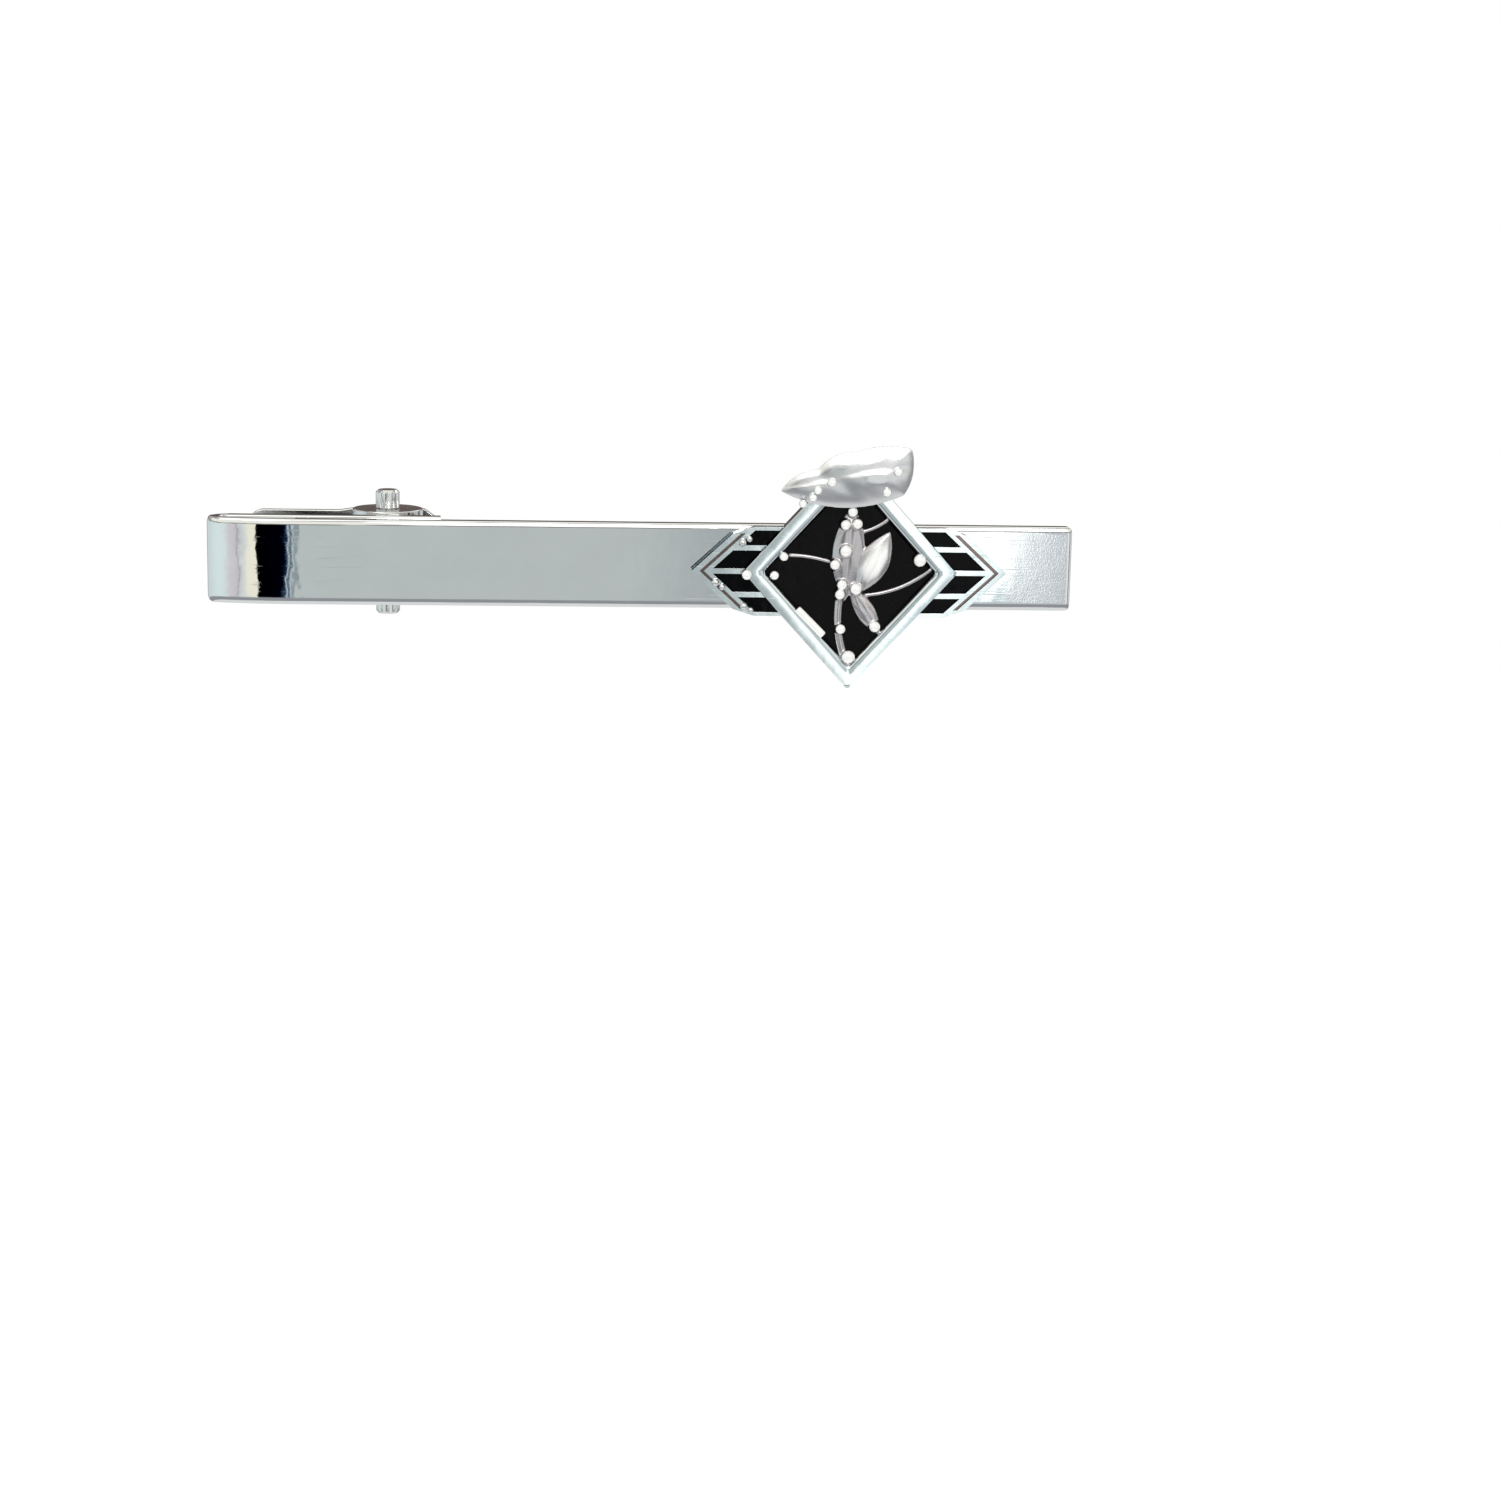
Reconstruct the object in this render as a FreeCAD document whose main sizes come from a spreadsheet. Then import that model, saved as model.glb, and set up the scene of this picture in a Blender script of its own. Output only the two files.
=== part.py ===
import FreeCAD, Part
import math
import os
import re
import Sketcher

# Tie bar with a sprung lever on its back and an enamelled emblem on its front.
# X runs along the bar, Z across it and up as worn, and the front faces -Y.
# The origin is the middle of the bar's flat back face, where the tie is held.

sizes = {
    # front bar
    "barLength": (57.0, "overall length of the bar, over the fold"),
    "barWidth": (5.6, "width of the strip"),
    "barThick": (1.0, "thickness of the strip"),
    "barCorner": (0.35, "corner radius at the open end, seen from the front"),
    "barEdge": (0.22, "rounding of the strip's long edges"),
    "sweepRadius": (25.0, "front face radius of the gentle bend near the fold"),
    "sweepAngle": (11.0, "angle of the gentle bend"),
    "foldInner": (0.3, "inner radius of the tight fold"),
    "leafMargin": (1.0, "return leaf beyond the bracket"),
    # hinge bracket
    "solderFilm": (0.06, "solder between leaf and bracket"),
    "pinInset": (11.6, "pin axis from the folded end"),
    "bracketHalf": (2.6, "half length of the bracket's foot"),
    "bracketThick": (0.45, "sheet of the bracket"),
    "earGap": (0.2, "round top of each ear below the web"),
    "coilRoom": (1.9, "half width between the ears"),
    "bracketBend": (0.3, "outer bend radius of the bracket"),
    # pin
    "pinRadius": (0.6, "shaft of the pin"),
    "pinSeat": (0.02, "radial gap of the pin in the ears"),
    "runningGap": (0.05, "radial gap of the pin in the cheeks"),
    "headRadius": (0.8, "fluted ends of the pin"),
    "headLength": (1.2, "length of each fluted end"),
    "headEdge": (0.18, "chamfer of each fluted end"),
    "fluteDepth": (0.1, "depth of the flutes"),
    "fluteCount": (12, "flutes round each end"),
    # lever
    "leverThick": (0.5, "sheet of the lever"),
    "cheekRadius": (2.35, "round cheeks about the pin"),
    "cheekGap": (0.3, "cheek above the leaf"),
    "cheekRoom": (0.3, "thinned web beyond the cheeks"),
    "sideGap": (0.06, "cheek beside the ear, and head beside the cheek"),
    "webProud": (0.05, "web above the top of the cheeks"),
    "tabLength": (9.5, "thumb tab from the pin axis"),
    "tabHalf": (2.5, "half width of the thumb tab"),
    "tabCorner": (1.1, "corner radius of the thumb tab"),
    "shoulder": (1.0, "length of the step from cheek to tab"),
    "bendStart": (3.0, "start of the jaw arm from the pin axis"),
    "armTaper": (1.2, "length over which the arm narrows"),
    "armHalf": (1.8, "half width of the jaw arm"),
    "jawReach": (25.5, "outer face of the jaw lip from the pin axis"),
    "jawStand": (0.95, "inner face of the arm above the bar at the lip"),
    "jawGap": (0.03, "tips of the teeth above the bar"),
    "flangeDepth": (0.85, "stiffening flange at its deep end"),
    "flangeLength": (15.0, "length of the stiffening flange"),
    "flangeSetback": (0.2, "start of the flange after the bend"),
    "flangeTail": (1.7, "length over which the flange runs out"),
    "flangeHeel": (0.34, "flange where it begins to run out"),
    "flangeSink": (0.05, "flange let into the underside of the arm"),
    "toothCount": (5, "teeth across the lip"),
    "toothDepth": (0.4, "depth of the notches between the teeth"),
    "toothMouth": (0.2, "half width of a notch at the edge of the lip"),
    "webLap": (0.25, "web over each cheek"),
    # spring
    "wireRadius": (0.25, "spring wire"),
    "coilRadius": (1.25, "mean radius of the coil"),
    "coilPitch": (0.55, "rise of each turn"),
    "coilTurns": (4, "full turns besides the part turn between the legs"),
    "lowerLeg": (5.0, "reach of the leg on the leaf"),
    "upperLeg": (6.0, "reach of the leg under the thumb tab"),
    "legGap": (0.03, "gap between a leg and what it bears on"),
    # emblem
    "emblemInset": (14.9, "emblem centre from the open end"),
    "emblemDrop": (0.2, "emblem centre below the bar's centre line"),
    "emblemFilm": (0.08, "solder between bar and emblem"),
    "floorThick": (0.42, "floor of the emblem plate"),
    "fanRise": (0.36, "rails and rim above the floor"),
    "fanReach": (10.4, "tip of a fan from the emblem centre"),
    "fanShoulder": (7.7, "where the fan's tip begins"),
    "shoulderHeight": (2.5, "half height where the tip begins"),
    "fanCrown": (6.3, "where the fan is tallest"),
    "fanHeight": (2.95, "half height where the fan is tallest"),
    "fanRim": (1.2, "width of the rim at the tip"),
    "fanLip": (0.25, "width of the rim along the top"),
    "railPitch": (1.55, "spacing of the rails"),
    "railWidth": (0.36, "width of a rail"),
    "rimStep": (0.5, "start of the groove in the rim"),
    "rimGroove": (0.28, "width of the groove in the rim"),
    "grooveDepth": (0.14, "depth of the groove in the rim"),
    "fanFill": (0.22, "depth of enamel in the fans"),
    "frameWidth": (7.1, "half width of the diamond"),
    "frameHeight": (7.8, "half height of the diamond"),
    "frameBorder": (1.08, "width of the diamond's border"),
    "frameRise": (0.85, "diamond frame above the floor"),
    "frameCorner": (0.35, "corner radius of the diamond"),
    "frameSeat": (0.03, "floor under the frame kept inside its edge"),
    "frameEdge": (0.12, "chamfer of the frame's outer edge"),
    "frameBevel": (0.22, "chamfer of the frame's inner edge"),
    "fieldFill": (0.45, "depth of enamel in the diamond"),
    "sprigRise": (0.72, "sprig above the floor"),
    "stemWidth": (0.62, "stem of the sprig"),
    "stemRise": (0.9, "height of the stem as a share of the leaves'"),
    "tendrilWidth": (0.3, "tendrils of the sprig"),
    "tendrilRise": (0.75, "height of the tendrils as a share of the leaves'"),
    "berryRadius": (0.36, "berries of the sprig"),
    "crestThick": (0.62, "thickness of the crest leaf"),
    "crestSize": (1.0, "size of the crest leaf against its drawing"),
    "topBerry": (0.655, "height of the sprig's top berry against the enamel's half height"),
    "crestPeak": (3.74, "crest leaf's top above the middle of the top berry"),
    "crestStep": (0.25, "height of the step round the crest leaf"),
    "crestUpper": (0.9, "upper step of the crest leaf against the lower one"),
    "veinWidth": (0.3, "groove along the crest leaf"),
    "veinDepth": (0.16, "depth of that groove"),
    # making
    "cutMargin": (1.0, "how far a cut runs past what it cuts"),
}

# Places worked out from the sizes. A word here or in the sizes can be used in any formula below.
places = {
    "barLeft": "-barLength / 2",
    "barRight": "barLength / 2",
    "foldRadius": "foldInner + barThick",
    "foldX": "barLeft + foldRadius",
    "foldY": "sweepRadius - barThick - (sweepRadius - foldRadius) * cos(sweepAngle)",
    "sweepX": "foldX + (sweepRadius - foldRadius) * sin(sweepAngle)",
    "leafBack": "foldY + foldRadius",
    "leafFront": "leafBack - barThick",
    "pinX": "barLeft + pinInset",
    "pinY": "leafBack + cheekGap + cheekRadius",
    "leafEnd": "pinX + bracketHalf + leafMargin",
    # seen from the pin axis
    "leafLevel": "-cheekGap - cheekRadius",
    "footLevel": "leafLevel + solderFilm",
    "footTop": "footLevel + bracketThick",
    "earOuter": "coilRoom + bracketThick",
    "cheekInner": "earOuter + sideGap",
    "cheekOuter": "cheekInner + leverThick",
    "headInner": "cheekOuter + sideGap",
    "headOuter": "headInner + headLength",
    "webOuter": "cheekRadius + webProud",
    "webInner": "webOuter - leverThick",
    "webHalf": "cheekInner + webLap",
    "earRadius": "webInner - earGap",
    "barLevel": "-pinY",
    "armTop": "barLevel + jawStand + leverThick",
    "armAngle": "atan((webOuter - armTop) / (jawReach - bendStart))",
    "innerBend": "bendStart - leverThick * tan(armAngle / 2)",
    "lipInner": "jawReach - leverThick",
    "lipRoot": "webInner - (lipInner - innerBend) * tan(armAngle)",
    "flangeStart": "bendStart + flangeSetback",
    "flangeRoot": "webInner - (flangeStart - innerBend) * tan(armAngle)",
    "flangeEnd": "flangeStart + flangeLength",
    "flangeTip": "webInner - (flangeEnd - innerBend) * tan(armAngle)",
    # emblem, as depth in front of the bar's back face
    "emblemX": "barRight - emblemInset",
    "filmFront": "barThick + emblemFilm",
    "floorFront": "filmFront + floorThick",
    "fanFront": "floorFront + fanRise",
    "frameFront": "floorFront + frameRise",
    "fanSlope": "(fanReach - fanShoulder) / shoulderHeight",
    "edgeLength": "sqrt(frameWidth * frameWidth + frameHeight * frameHeight)",
    "fieldWidth": "frameWidth - frameBorder * edgeLength / frameHeight",
    "fieldHeight": "frameHeight - frameBorder * edgeLength / frameWidth",
    "crestTop": "topBerry * fieldHeight + crestPeak",
}

doc = FreeCAD.newDocument("TieBar")
sheet = doc.addObject("Spreadsheet::Sheet", "Sizes")
for row, (alias, (number, note)) in enumerate(sizes.items(), start=1):
    sheet.set("A%d" % row, note)
    sheet.set("B%d" % row, str(number))
    sheet.setAlias("B%d" % row, alias)
doc.recompute()


def tied(text):
    """A formula over the names above, in the form that a property follows."""
    def swap(match):
        word = match.group(0)
        if word in places:
            return "(" + tied(places[word]) + ")"
        if word in sizes:
            return "Sizes." + word
        return word
    return re.sub(r"[A-Za-z]+", swap, text)


def amount(text):
    """The present value of a formula."""
    return float(sheet.evalExpression(tied(text)))


# ---- sketches ----

def plane(body, role):
    return [feature for feature in body.Origin.OriginFeatures if feature.Role == role][0]


def newBody(label, x="0", y="0", z="0"):
    body = doc.addObject("PartDesign::Body", label)
    body.Label = label
    for axis, text in (("x", x), ("y", y), ("z", z)):
        if text != "0":
            body.setExpression("Placement.Base." + axis, tied(text))
    return body


def newSketch(body, role, offset="0"):
    sketch = body.newObject("Sketcher::SketchObject", body.Name + "Sketch")
    sketch.AttachmentSupport = [(plane(body, role), "")]
    sketch.MapMode = "FlatFace"
    if offset != "0":
        sketch.setExpression("AttachmentOffset.Base.z", tied(offset))
    return sketch


def follow(sketch, constraint, text):
    index = sketch.addConstraint(constraint)
    sketch.setExpression("Constraints[%d]" % index, tied(text))


def fix(sketch, element, point, x, y):
    """Hold a point of the sketch at two formulas from the sketch's origin."""
    for kind, axis, text in (("DistanceX", -2, x), ("DistanceY", -1, y)):
        if text == "0":
            sketch.addConstraint(Sketcher.Constraint("PointOnObject", element, point, axis))
        else:
            follow(sketch, Sketcher.Constraint(kind, -1, 1, element, point, amount(text)), text)


def circle(sketch, x, y, radius):
    centre = FreeCAD.Vector(amount(x), amount(y), 0)
    shape = Part.Circle(centre, FreeCAD.Vector(0, 0, 1), amount(radius))
    element = sketch.addGeometry(shape, False)
    fix(sketch, element, 3, x, y)
    follow(sketch, Sketcher.Constraint("Radius", element, amount(radius)), radius)


def outline(sketch, corners):
    """A closed outline. A corner (x, y) starts a line, and (x, y, radius, turn) starts an arc.

    turn is 1 for an arc that bends to the left of the way it goes, and -1 to the right.
    """
    points = [FreeCAD.Vector(amount(corner[0]), amount(corner[1]), 0) for corner in corners]
    ends = []
    for number, corner in enumerate(corners):
        start = points[number]
        stop = points[(number + 1) % len(points)]
        if len(corner) == 2:
            element = sketch.addGeometry(Part.LineSegment(start, stop), False)
            ends.append((element, 1, 2))
            continue
        radius, turn = amount(corner[2]), corner[3]
        half = (stop - start) * 0.5
        side = FreeCAD.Vector(-half.y, half.x, 0).normalize() * turn
        centre = start + half + side * math.sqrt(max(radius * radius - half.Length ** 2, 0.0))
        first, last = (start, stop) if turn > 0 else (stop, start)
        angles = [math.atan2(end.y - centre.y, end.x - centre.x) for end in (first, last)]
        shape = Part.ArcOfCircle(Part.Circle(centre, FreeCAD.Vector(0, 0, 1), radius), *angles)
        element = sketch.addGeometry(shape, False)
        ends.append((element, 1, 2) if turn > 0 else (element, 2, 1))
    for number, corner in enumerate(corners):
        element, begin, _ = ends[number]
        before, _, finish = ends[number - 1]
        sketch.addConstraint(Sketcher.Constraint("Coincident", before, finish, element, begin))
        fix(sketch, element, begin, corner[0], corner[1])
    for number, corner in enumerate(corners):
        if len(corner) > 2:
            follow(sketch, Sketcher.Constraint("Radius", ends[number][0], amount(corner[2])), corner[2])


# ---- features ----

def extrude(kind, body, sketch, length, symmetric=False, backwards=False):
    feature = body.newObject("PartDesign::" + kind, body.Name + kind)
    feature.Profile = sketch
    feature.setExpression("Length", tied(length))
    feature.SideType = "Symmetric" if symmetric else "One side"
    feature.Reversed = backwards
    sketch.Visibility = False
    body.Tip = feature
    return feature


def layer(body, rear, face, *outlines):
    """A slab between two depths in front of the bar's back face."""
    sketch = newSketch(body, "XZ_Plane", rear)
    for corners in outlines:
        outline(sketch, corners)
    return extrude("Pad", body, sketch, "(%s) - (%s)" % (face, rear))


def sink(body, rear, face, *outlines):
    """A recess cut from the depth face back to the depth rear."""
    sketch = newSketch(body, "XZ_Plane", face)
    for corners in outlines:
        outline(sketch, corners)
    return extrude("Pocket", body, sketch, "(%s) - (%s)" % (face, rear))


def dress(kind, body, test, size):
    """Fillet or chamfer the edges of the body's tip that pass the test."""
    doc.recompute()
    tip = body.Tip
    names = ["Edge%d" % (number + 1) for number, edge in enumerate(tip.Shape.Edges) if test(edge)]
    feature = body.newObject("PartDesign::" + kind, body.Name + kind)
    feature.Base = (tip, names)
    feature.setExpression("Radius" if kind == "Fillet" else "Size", tied(size))
    tip.Visibility = False
    body.Tip = feature
    return feature


tiny = 1e-4  # two lengths this close are the same


def near(value, text):
    return abs(value - amount(text)) < tiny


def lies(edge, axis, text):
    """Whether the whole edge lies where one coordinate has the given value."""
    box = edge.BoundBox
    return near(getattr(box, axis + "Min"), text) and near(getattr(box, axis + "Max"), text)


def runs(edge, axis):
    """Whether the edge is straight and parallel to an axis."""
    if edge.Curve.TypeId != "Part::GeomLine":
        return False
    box = edge.BoundBox
    return all(getattr(box, other + "Length") < 1e-4 for other in "XYZ" if other != axis)


def mirrored(sign, corners):
    """The same outline with its first coordinate turned over, still closed the same way."""
    return [("%d * (%s)" % (sign, x), y) for x, y in corners]


# ---- front bar ----

def makeFrontBar():
    body = newBody("front_bar")
    sketch = newSketch(body, "XY_Plane")
    outline(sketch, [
        ("sweepX", "-barThick"),
        ("barRight", "-barThick"),
        ("barRight", "0"),
        ("sweepX", "0", "sweepRadius - barThick", -1),
        ("foldX - foldInner * sin(sweepAngle)", "foldY - foldInner * cos(sweepAngle)", "foldInner", -1),
        ("foldX - foldInner", "foldY", "foldInner", -1),
        ("foldX", "leafFront"),
        ("leafEnd", "leafFront"),
        ("leafEnd", "leafBack"),
        ("foldX", "leafBack", "foldRadius", 1),
        ("barLeft", "foldY", "foldRadius", 1),
        ("foldX - foldRadius * sin(sweepAngle)", "foldY - foldRadius * cos(sweepAngle)",
         "sweepRadius", 1),
    ])
    extrude("Pad", body, sketch, "barWidth", symmetric=True)
    dress("Fillet", body, lambda edge: runs(edge, "Y") and lies(edge, "X", "barRight"), "barCorner")
    dress("Fillet", body, onStripRim, "barEdge")
    return body


def onStripRim(edge):
    box = edge.BoundBox
    if lies(edge, "Z", "barWidth / 2") or lies(edge, "Z", "-barWidth / 2"):
        return not runs(edge, "Y")
    if lies(edge, "Y", "-barThick") or lies(edge, "Y", "0"):
        return box.XMin > amount("barRight - barCorner") - tiny
    return False


# ---- hinge bracket and its solder ----

def makeBracketSolder():
    body = newBody("bracket_solder", "pinX", "pinY")
    sketch = newSketch(body, "XY_Plane")
    half = "(bracketHalf + solderFilm)"
    outline(sketch, [
        ("-" + half, "leafLevel"), (half, "leafLevel"), (half, "footLevel"), ("-" + half, "footLevel"),
    ])
    extrude("Pad", body, sketch, "2 * (earOuter - bracketBend)", symmetric=True)
    return body


def makeHingeBracket():
    body = newBody("hinge_bracket", "pinX", "pinY")
    side = newSketch(body, "XY_Plane")
    outline(side, [
        ("-bracketHalf", "footLevel"),
        ("bracketHalf", "footLevel"),
        ("bracketHalf", "footTop"),
        ("earRadius", "0", "earRadius", 1),
        ("0", "earRadius", "earRadius", 1),
        ("-earRadius", "0"),
        ("-bracketHalf", "footTop"),
    ])
    extrude("Pad", body, side, "2 * earOuter", symmetric=True)
    room = newSketch(body, "XY_Plane")
    wide = "(bracketHalf + cutMargin)"
    high = "earRadius + cutMargin"
    outline(room, [("-" + wide, "footTop"), (wide, "footTop"), (wide, high), ("-" + wide, high)])
    extrude("Pocket", body, room, "2 * coilRoom", symmetric=True)
    hole = newSketch(body, "XY_Plane")
    circle(hole, "0", "0", "pinRadius + pinSeat")
    extrude("Pocket", body, hole, "2 * (earOuter + cutMargin)", symmetric=True)
    dress("Fillet", body, lambda edge: runs(edge, "X") and lies(edge, "Y", "footLevel"), "bracketBend")
    return body


# ---- pin ----

def makeHingePin():
    body = newBody("hinge_pin", "pinX", "pinY")
    shaft = newSketch(body, "XY_Plane")
    circle(shaft, "0", "0", "pinRadius")
    extrude("Pad", body, shaft, "2 * headOuter", symmetric=True)
    for sign in (1, -1):
        head = newSketch(body, "XY_Plane", "headInner" if sign > 0 else "-headInner")
        circle(head, "0", "0", "headRadius")
        extrude("Pad", body, head, "headLength", backwards=sign < 0)
    rims = ("headOuter", "-headOuter")
    dress("Chamfer", body, lambda edge: any(lies(edge, "Z", rim) for rim in rims), "headEdge")
    flutes = newSketch(body, "XY_Plane")
    count = int(amount("fluteCount"))
    deep = "(headRadius - fluteDepth)"
    wide = "(fluteDepth + 0.05)"
    turned = "%s * cos(%s) - %s * sin(%s)", "%s * sin(%s) + %s * cos(%s)"
    for number in range(count):
        angle = "(360 * %d / fluteCount)" % number
        corners = []
        for reach, side in ((deep, "0"), ("(headRadius + 0.1)", "-" + wide), ("(headRadius + 0.1)", wide)):
            corners.append(tuple(form % (reach, angle, side, angle) for form in turned))
        outline(flutes, corners)
    extrude("Pocket", body, flutes, "2 * headOuter + 1", symmetric=True)
    return body


# ---- spring ----

def makeTorsionSpring():
    """Round wire: a straight leg, a close coil about the pin, and a second straight leg."""
    coil, wire = amount("coilRadius"), amount("wireRadius")
    pitch, gap = amount("coilPitch"), amount("legGap")
    lowEnd = FreeCAD.Vector(-amount("lowerLeg"), amount("leafLevel") + wire + gap, 0)
    highEnd = FreeCAD.Vector(-amount("upperLeg"), amount("webInner") - wire - gap, 0)
    lowAngle = math.atan2(lowEnd.y, lowEnd.x) + math.acos(coil / lowEnd.Length)
    highAngle = math.atan2(highEnd.y, highEnd.x) - math.acos(coil / highEnd.Length)
    sweep = (highAngle - lowAngle) % (2 * math.pi) + 2 * math.pi * int(amount("coilTurns"))
    height = pitch * sweep / (2 * math.pi)
    rise = pitch / (2 * math.pi * coil)
    helix = Part.makeHelix(pitch, height, coil)
    helix.rotate(FreeCAD.Vector(0, 0, 0), FreeCAD.Vector(0, 0, 1), math.degrees(lowAngle))
    helix.translate(FreeCAD.Vector(0, 0, -height / 2))
    lowStart = FreeCAD.Vector(coil * math.cos(lowAngle), coil * math.sin(lowAngle), -height / 2)
    highStart = FreeCAD.Vector(coil * math.cos(highAngle), coil * math.sin(highAngle), height / 2)
    lowEnd.z = lowStart.z - rise * (lowEnd - lowStart).Length
    highEnd.z = highStart.z + rise * (highEnd - highStart).Length
    edges = [Part.makeLine(lowEnd, lowStart)] + helix.Edges + [Part.makeLine(highStart, highEnd)]
    path = Part.Wire(Part.__sortEdges__(edges))
    along = lowStart - lowEnd
    section = Part.Wire(Part.makeCircle(wire, lowEnd, along))
    spring = doc.addObject("Part::Feature", "torsion_spring")
    spring.Label = "torsion_spring"
    spring.Shape = path.makePipeShell([section], True, True)
    spring.setExpression("Placement.Base.x", tied("pinX"))
    spring.setExpression("Placement.Base.y", tied("pinY"))
    return spring


# ---- lever ----

def makeClampLever():
    body = newBody("clamp_lever", "pinX", "pinY")
    strip = newSketch(body, "XY_Plane")
    outline(strip, [
        ("-tabLength", "webOuter"),
        ("-tabLength", "webInner"),
        ("innerBend", "webInner"),
        ("lipInner", "lipRoot"),
        ("lipInner", "barLevel + jawGap"),
        ("jawReach", "barLevel + jawGap"),
        ("jawReach", "armTop"),
        ("bendStart", "webOuter"),
    ])
    extrude("Pad", body, strip, "2 * webHalf", symmetric=True)
    plan = newSketch(body, "XZ_Plane")
    far = "(cheekOuter + cutMargin)"
    for sign in ("", "-"):
        outline(plan, [
            ("-tabLength - cutMargin", sign + "tabHalf"),
            ("-cheekRadius - shoulder", sign + "tabHalf"),
            ("-cheekRadius", sign + "webHalf"),
            ("-cheekRadius", sign + far),
            ("-tabLength - cutMargin", sign + far),
        ])
        outline(plan, [
            ("jawReach + cutMargin", sign + "armHalf"),
            ("cheekRadius + armTaper", sign + "armHalf"),
            ("cheekRadius", sign + "webHalf"),
            ("cheekRadius", sign + far),
            ("jawReach + cutMargin", sign + far),
        ])
    extrude("Pocket", body, plan, "4 * pinY", symmetric=True)
    cheeks = newSketch(body, "XY_Plane")
    circle(cheeks, "0", "0", "cheekRadius")
    extrude("Pad", body, cheeks, "2 * cheekOuter", symmetric=True)
    room = newSketch(body, "XY_Plane")
    wide = "(cheekRadius + cheekRoom)"
    low = "-cheekRadius - cutMargin"
    outline(room, [("-" + wide, low), (wide, low), (wide, "webInner"), ("-" + wide, "webInner")])
    extrude("Pocket", body, room, "2 * cheekInner", symmetric=True)
    for sign in (1, -1):
        side = "armHalf - leverThick"
        flange = newSketch(body, "XY_Plane", side if sign > 0 else "-(%s)" % side)
        outline(flange, [
            ("flangeStart", "flangeRoot + flangeSink"),
            ("flangeStart", "flangeRoot - flangeDepth"),
            ("flangeEnd - flangeTail", "flangeTip - flangeHeel"),
            ("flangeEnd", "flangeTip + flangeSink"),
        ])
        extrude("Pad", body, flange, "leverThick", backwards=sign < 0)
    hole = newSketch(body, "XY_Plane")
    circle(hole, "0", "0", "pinRadius + runningGap")
    extrude("Pocket", body, hole, "2 * (cheekOuter + cutMargin)", symmetric=True)
    teeth = newSketch(body, "YZ_Plane", "jawReach - leverThick / 2")
    for number in range(1, int(amount("toothCount"))):
        middle = "(-armHalf + 2 * armHalf * %d / toothCount)" % number
        outline(teeth, [
            ("barLevel + jawGap + toothDepth", middle),
            ("barLevel + jawGap", middle + " - toothMouth"),
            ("barLevel + jawGap - cutMargin", middle + " - toothMouth"),
            ("barLevel + jawGap - cutMargin", middle + " + toothMouth"),
            ("barLevel + jawGap", middle + " + toothMouth"),
        ])
    extrude("Pocket", body, teeth, "2 * leverThick", symmetric=True)
    dress("Fillet", body, lambda edge: runs(edge, "Y") and lies(edge, "X", "-tabLength"), "tabCorner")
    return body


# ---- emblem ----

def emblemBody(label):
    return newBody(label, "emblemX", "0", "-emblemDrop")


def diamond(width, height):
    return [(width, "0"), ("0", height), ("-(%s)" % width, "0"), ("0", "-(%s)" % height)]


def fanCell(side, row):
    """One recess of a fan, between two rails, the rim and the diamond frame."""
    if row in (1, 4):
        low, high = "railPitch + railWidth / 2", "fanHeight - fanLip"
    else:
        low, high = "railWidth / 2", "railPitch - railWidth / 2"
    up = "1" if row < 3 else "-1"
    corners = []
    for reach, height in (("frame", low), ("rim", low), ("rim", high), ("frame", high)):
        if reach == "frame":
            x = "frameWidth * (1 - (%s) / frameHeight)" % height
        else:
            x = "fanReach - fanRim - fanSlope * (%s)" % height
        corners.append((x, "%s * (%s)" % (up, height)))
    return mirrored(side, corners)


def makeEmblemSolder():
    body = emblemBody("emblem_solder")
    tall = "(barWidth / 2 - emblemDrop - barEdge)"
    wide = "fanShoulder"
    corners = [(wide, tall), ("-" + wide, tall), ("-" + wide, "-" + tall), (wide, "-" + tall)]
    layer(body, "barThick", "filmFront", corners)
    return body


def makeEmblemPlate():
    body = emblemBody("emblem_plate")
    quarter = [("fanReach", "0"), ("fanShoulder", "shoulderHeight"), ("fanCrown", "fanHeight")]
    fan = list(quarter)
    fan += [("-(%s)" % x, z) for x, z in reversed(quarter)]
    fan += [("-(%s)" % x, "-(%s)" % z) for x, z in quarter[1:]]
    fan += [(x, "-(%s)" % z) for x, z in reversed(quarter[1:])]
    layer(body, "filmFront", "fanFront", fan)
    sink(body, "floorFront", "fanFront", diamond("frameWidth", "frameHeight"))
    sink(body, "floorFront", "fanFront", *[fanCell(side, row) for side in (-1, 1) for row in (1, 2, 3, 4)])
    sink(body, "fanFront - grooveDepth", "fanFront", *[rimGroove(side) for side in (-1, 1)])
    layer(body, "filmFront", "floorFront", diamond("frameWidth - frameSeat", "frameHeight - frameSeat"))
    return body


def rimGroove(side):
    """A shallow groove that follows the fan's rim round its tip."""
    def at(inset, height):
        return "fanReach - %s - fanSlope * %s" % (inset, height)
    outer, inner = "rimStep", "(rimStep + rimGroove)"
    tall = "shoulderHeight"
    return mirrored(side, [
        (at(outer, tall), "-" + tall), (at(outer, "0"), "0"), (at(outer, tall), tall),
        (at(inner, tall), tall), (at(inner, "0"), "0"), (at(inner, tall), "-" + tall),
    ])


def makeDiamondFrame():
    body = emblemBody("diamond_frame")
    layer(body, "floorFront", "frameFront", diamond("frameWidth", "frameHeight"))
    dress("Fillet", body, lambda edge: runs(edge, "Y"), "frameCorner")
    sink(body, "floorFront", "frameFront", diamond("fieldWidth", "fieldHeight"))
    front = "-(frameFront)"
    between = (amount("fieldWidth / frameWidth") + 1) / 2
    dress("Chamfer", body, lambda edge: lies(edge, "Y", front) and ring(edge) < between, "frameBevel")
    dress("Chamfer", body, lambda edge: lies(edge, "Y", front) and ring(edge) > between, "frameEdge")
    return body


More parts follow.
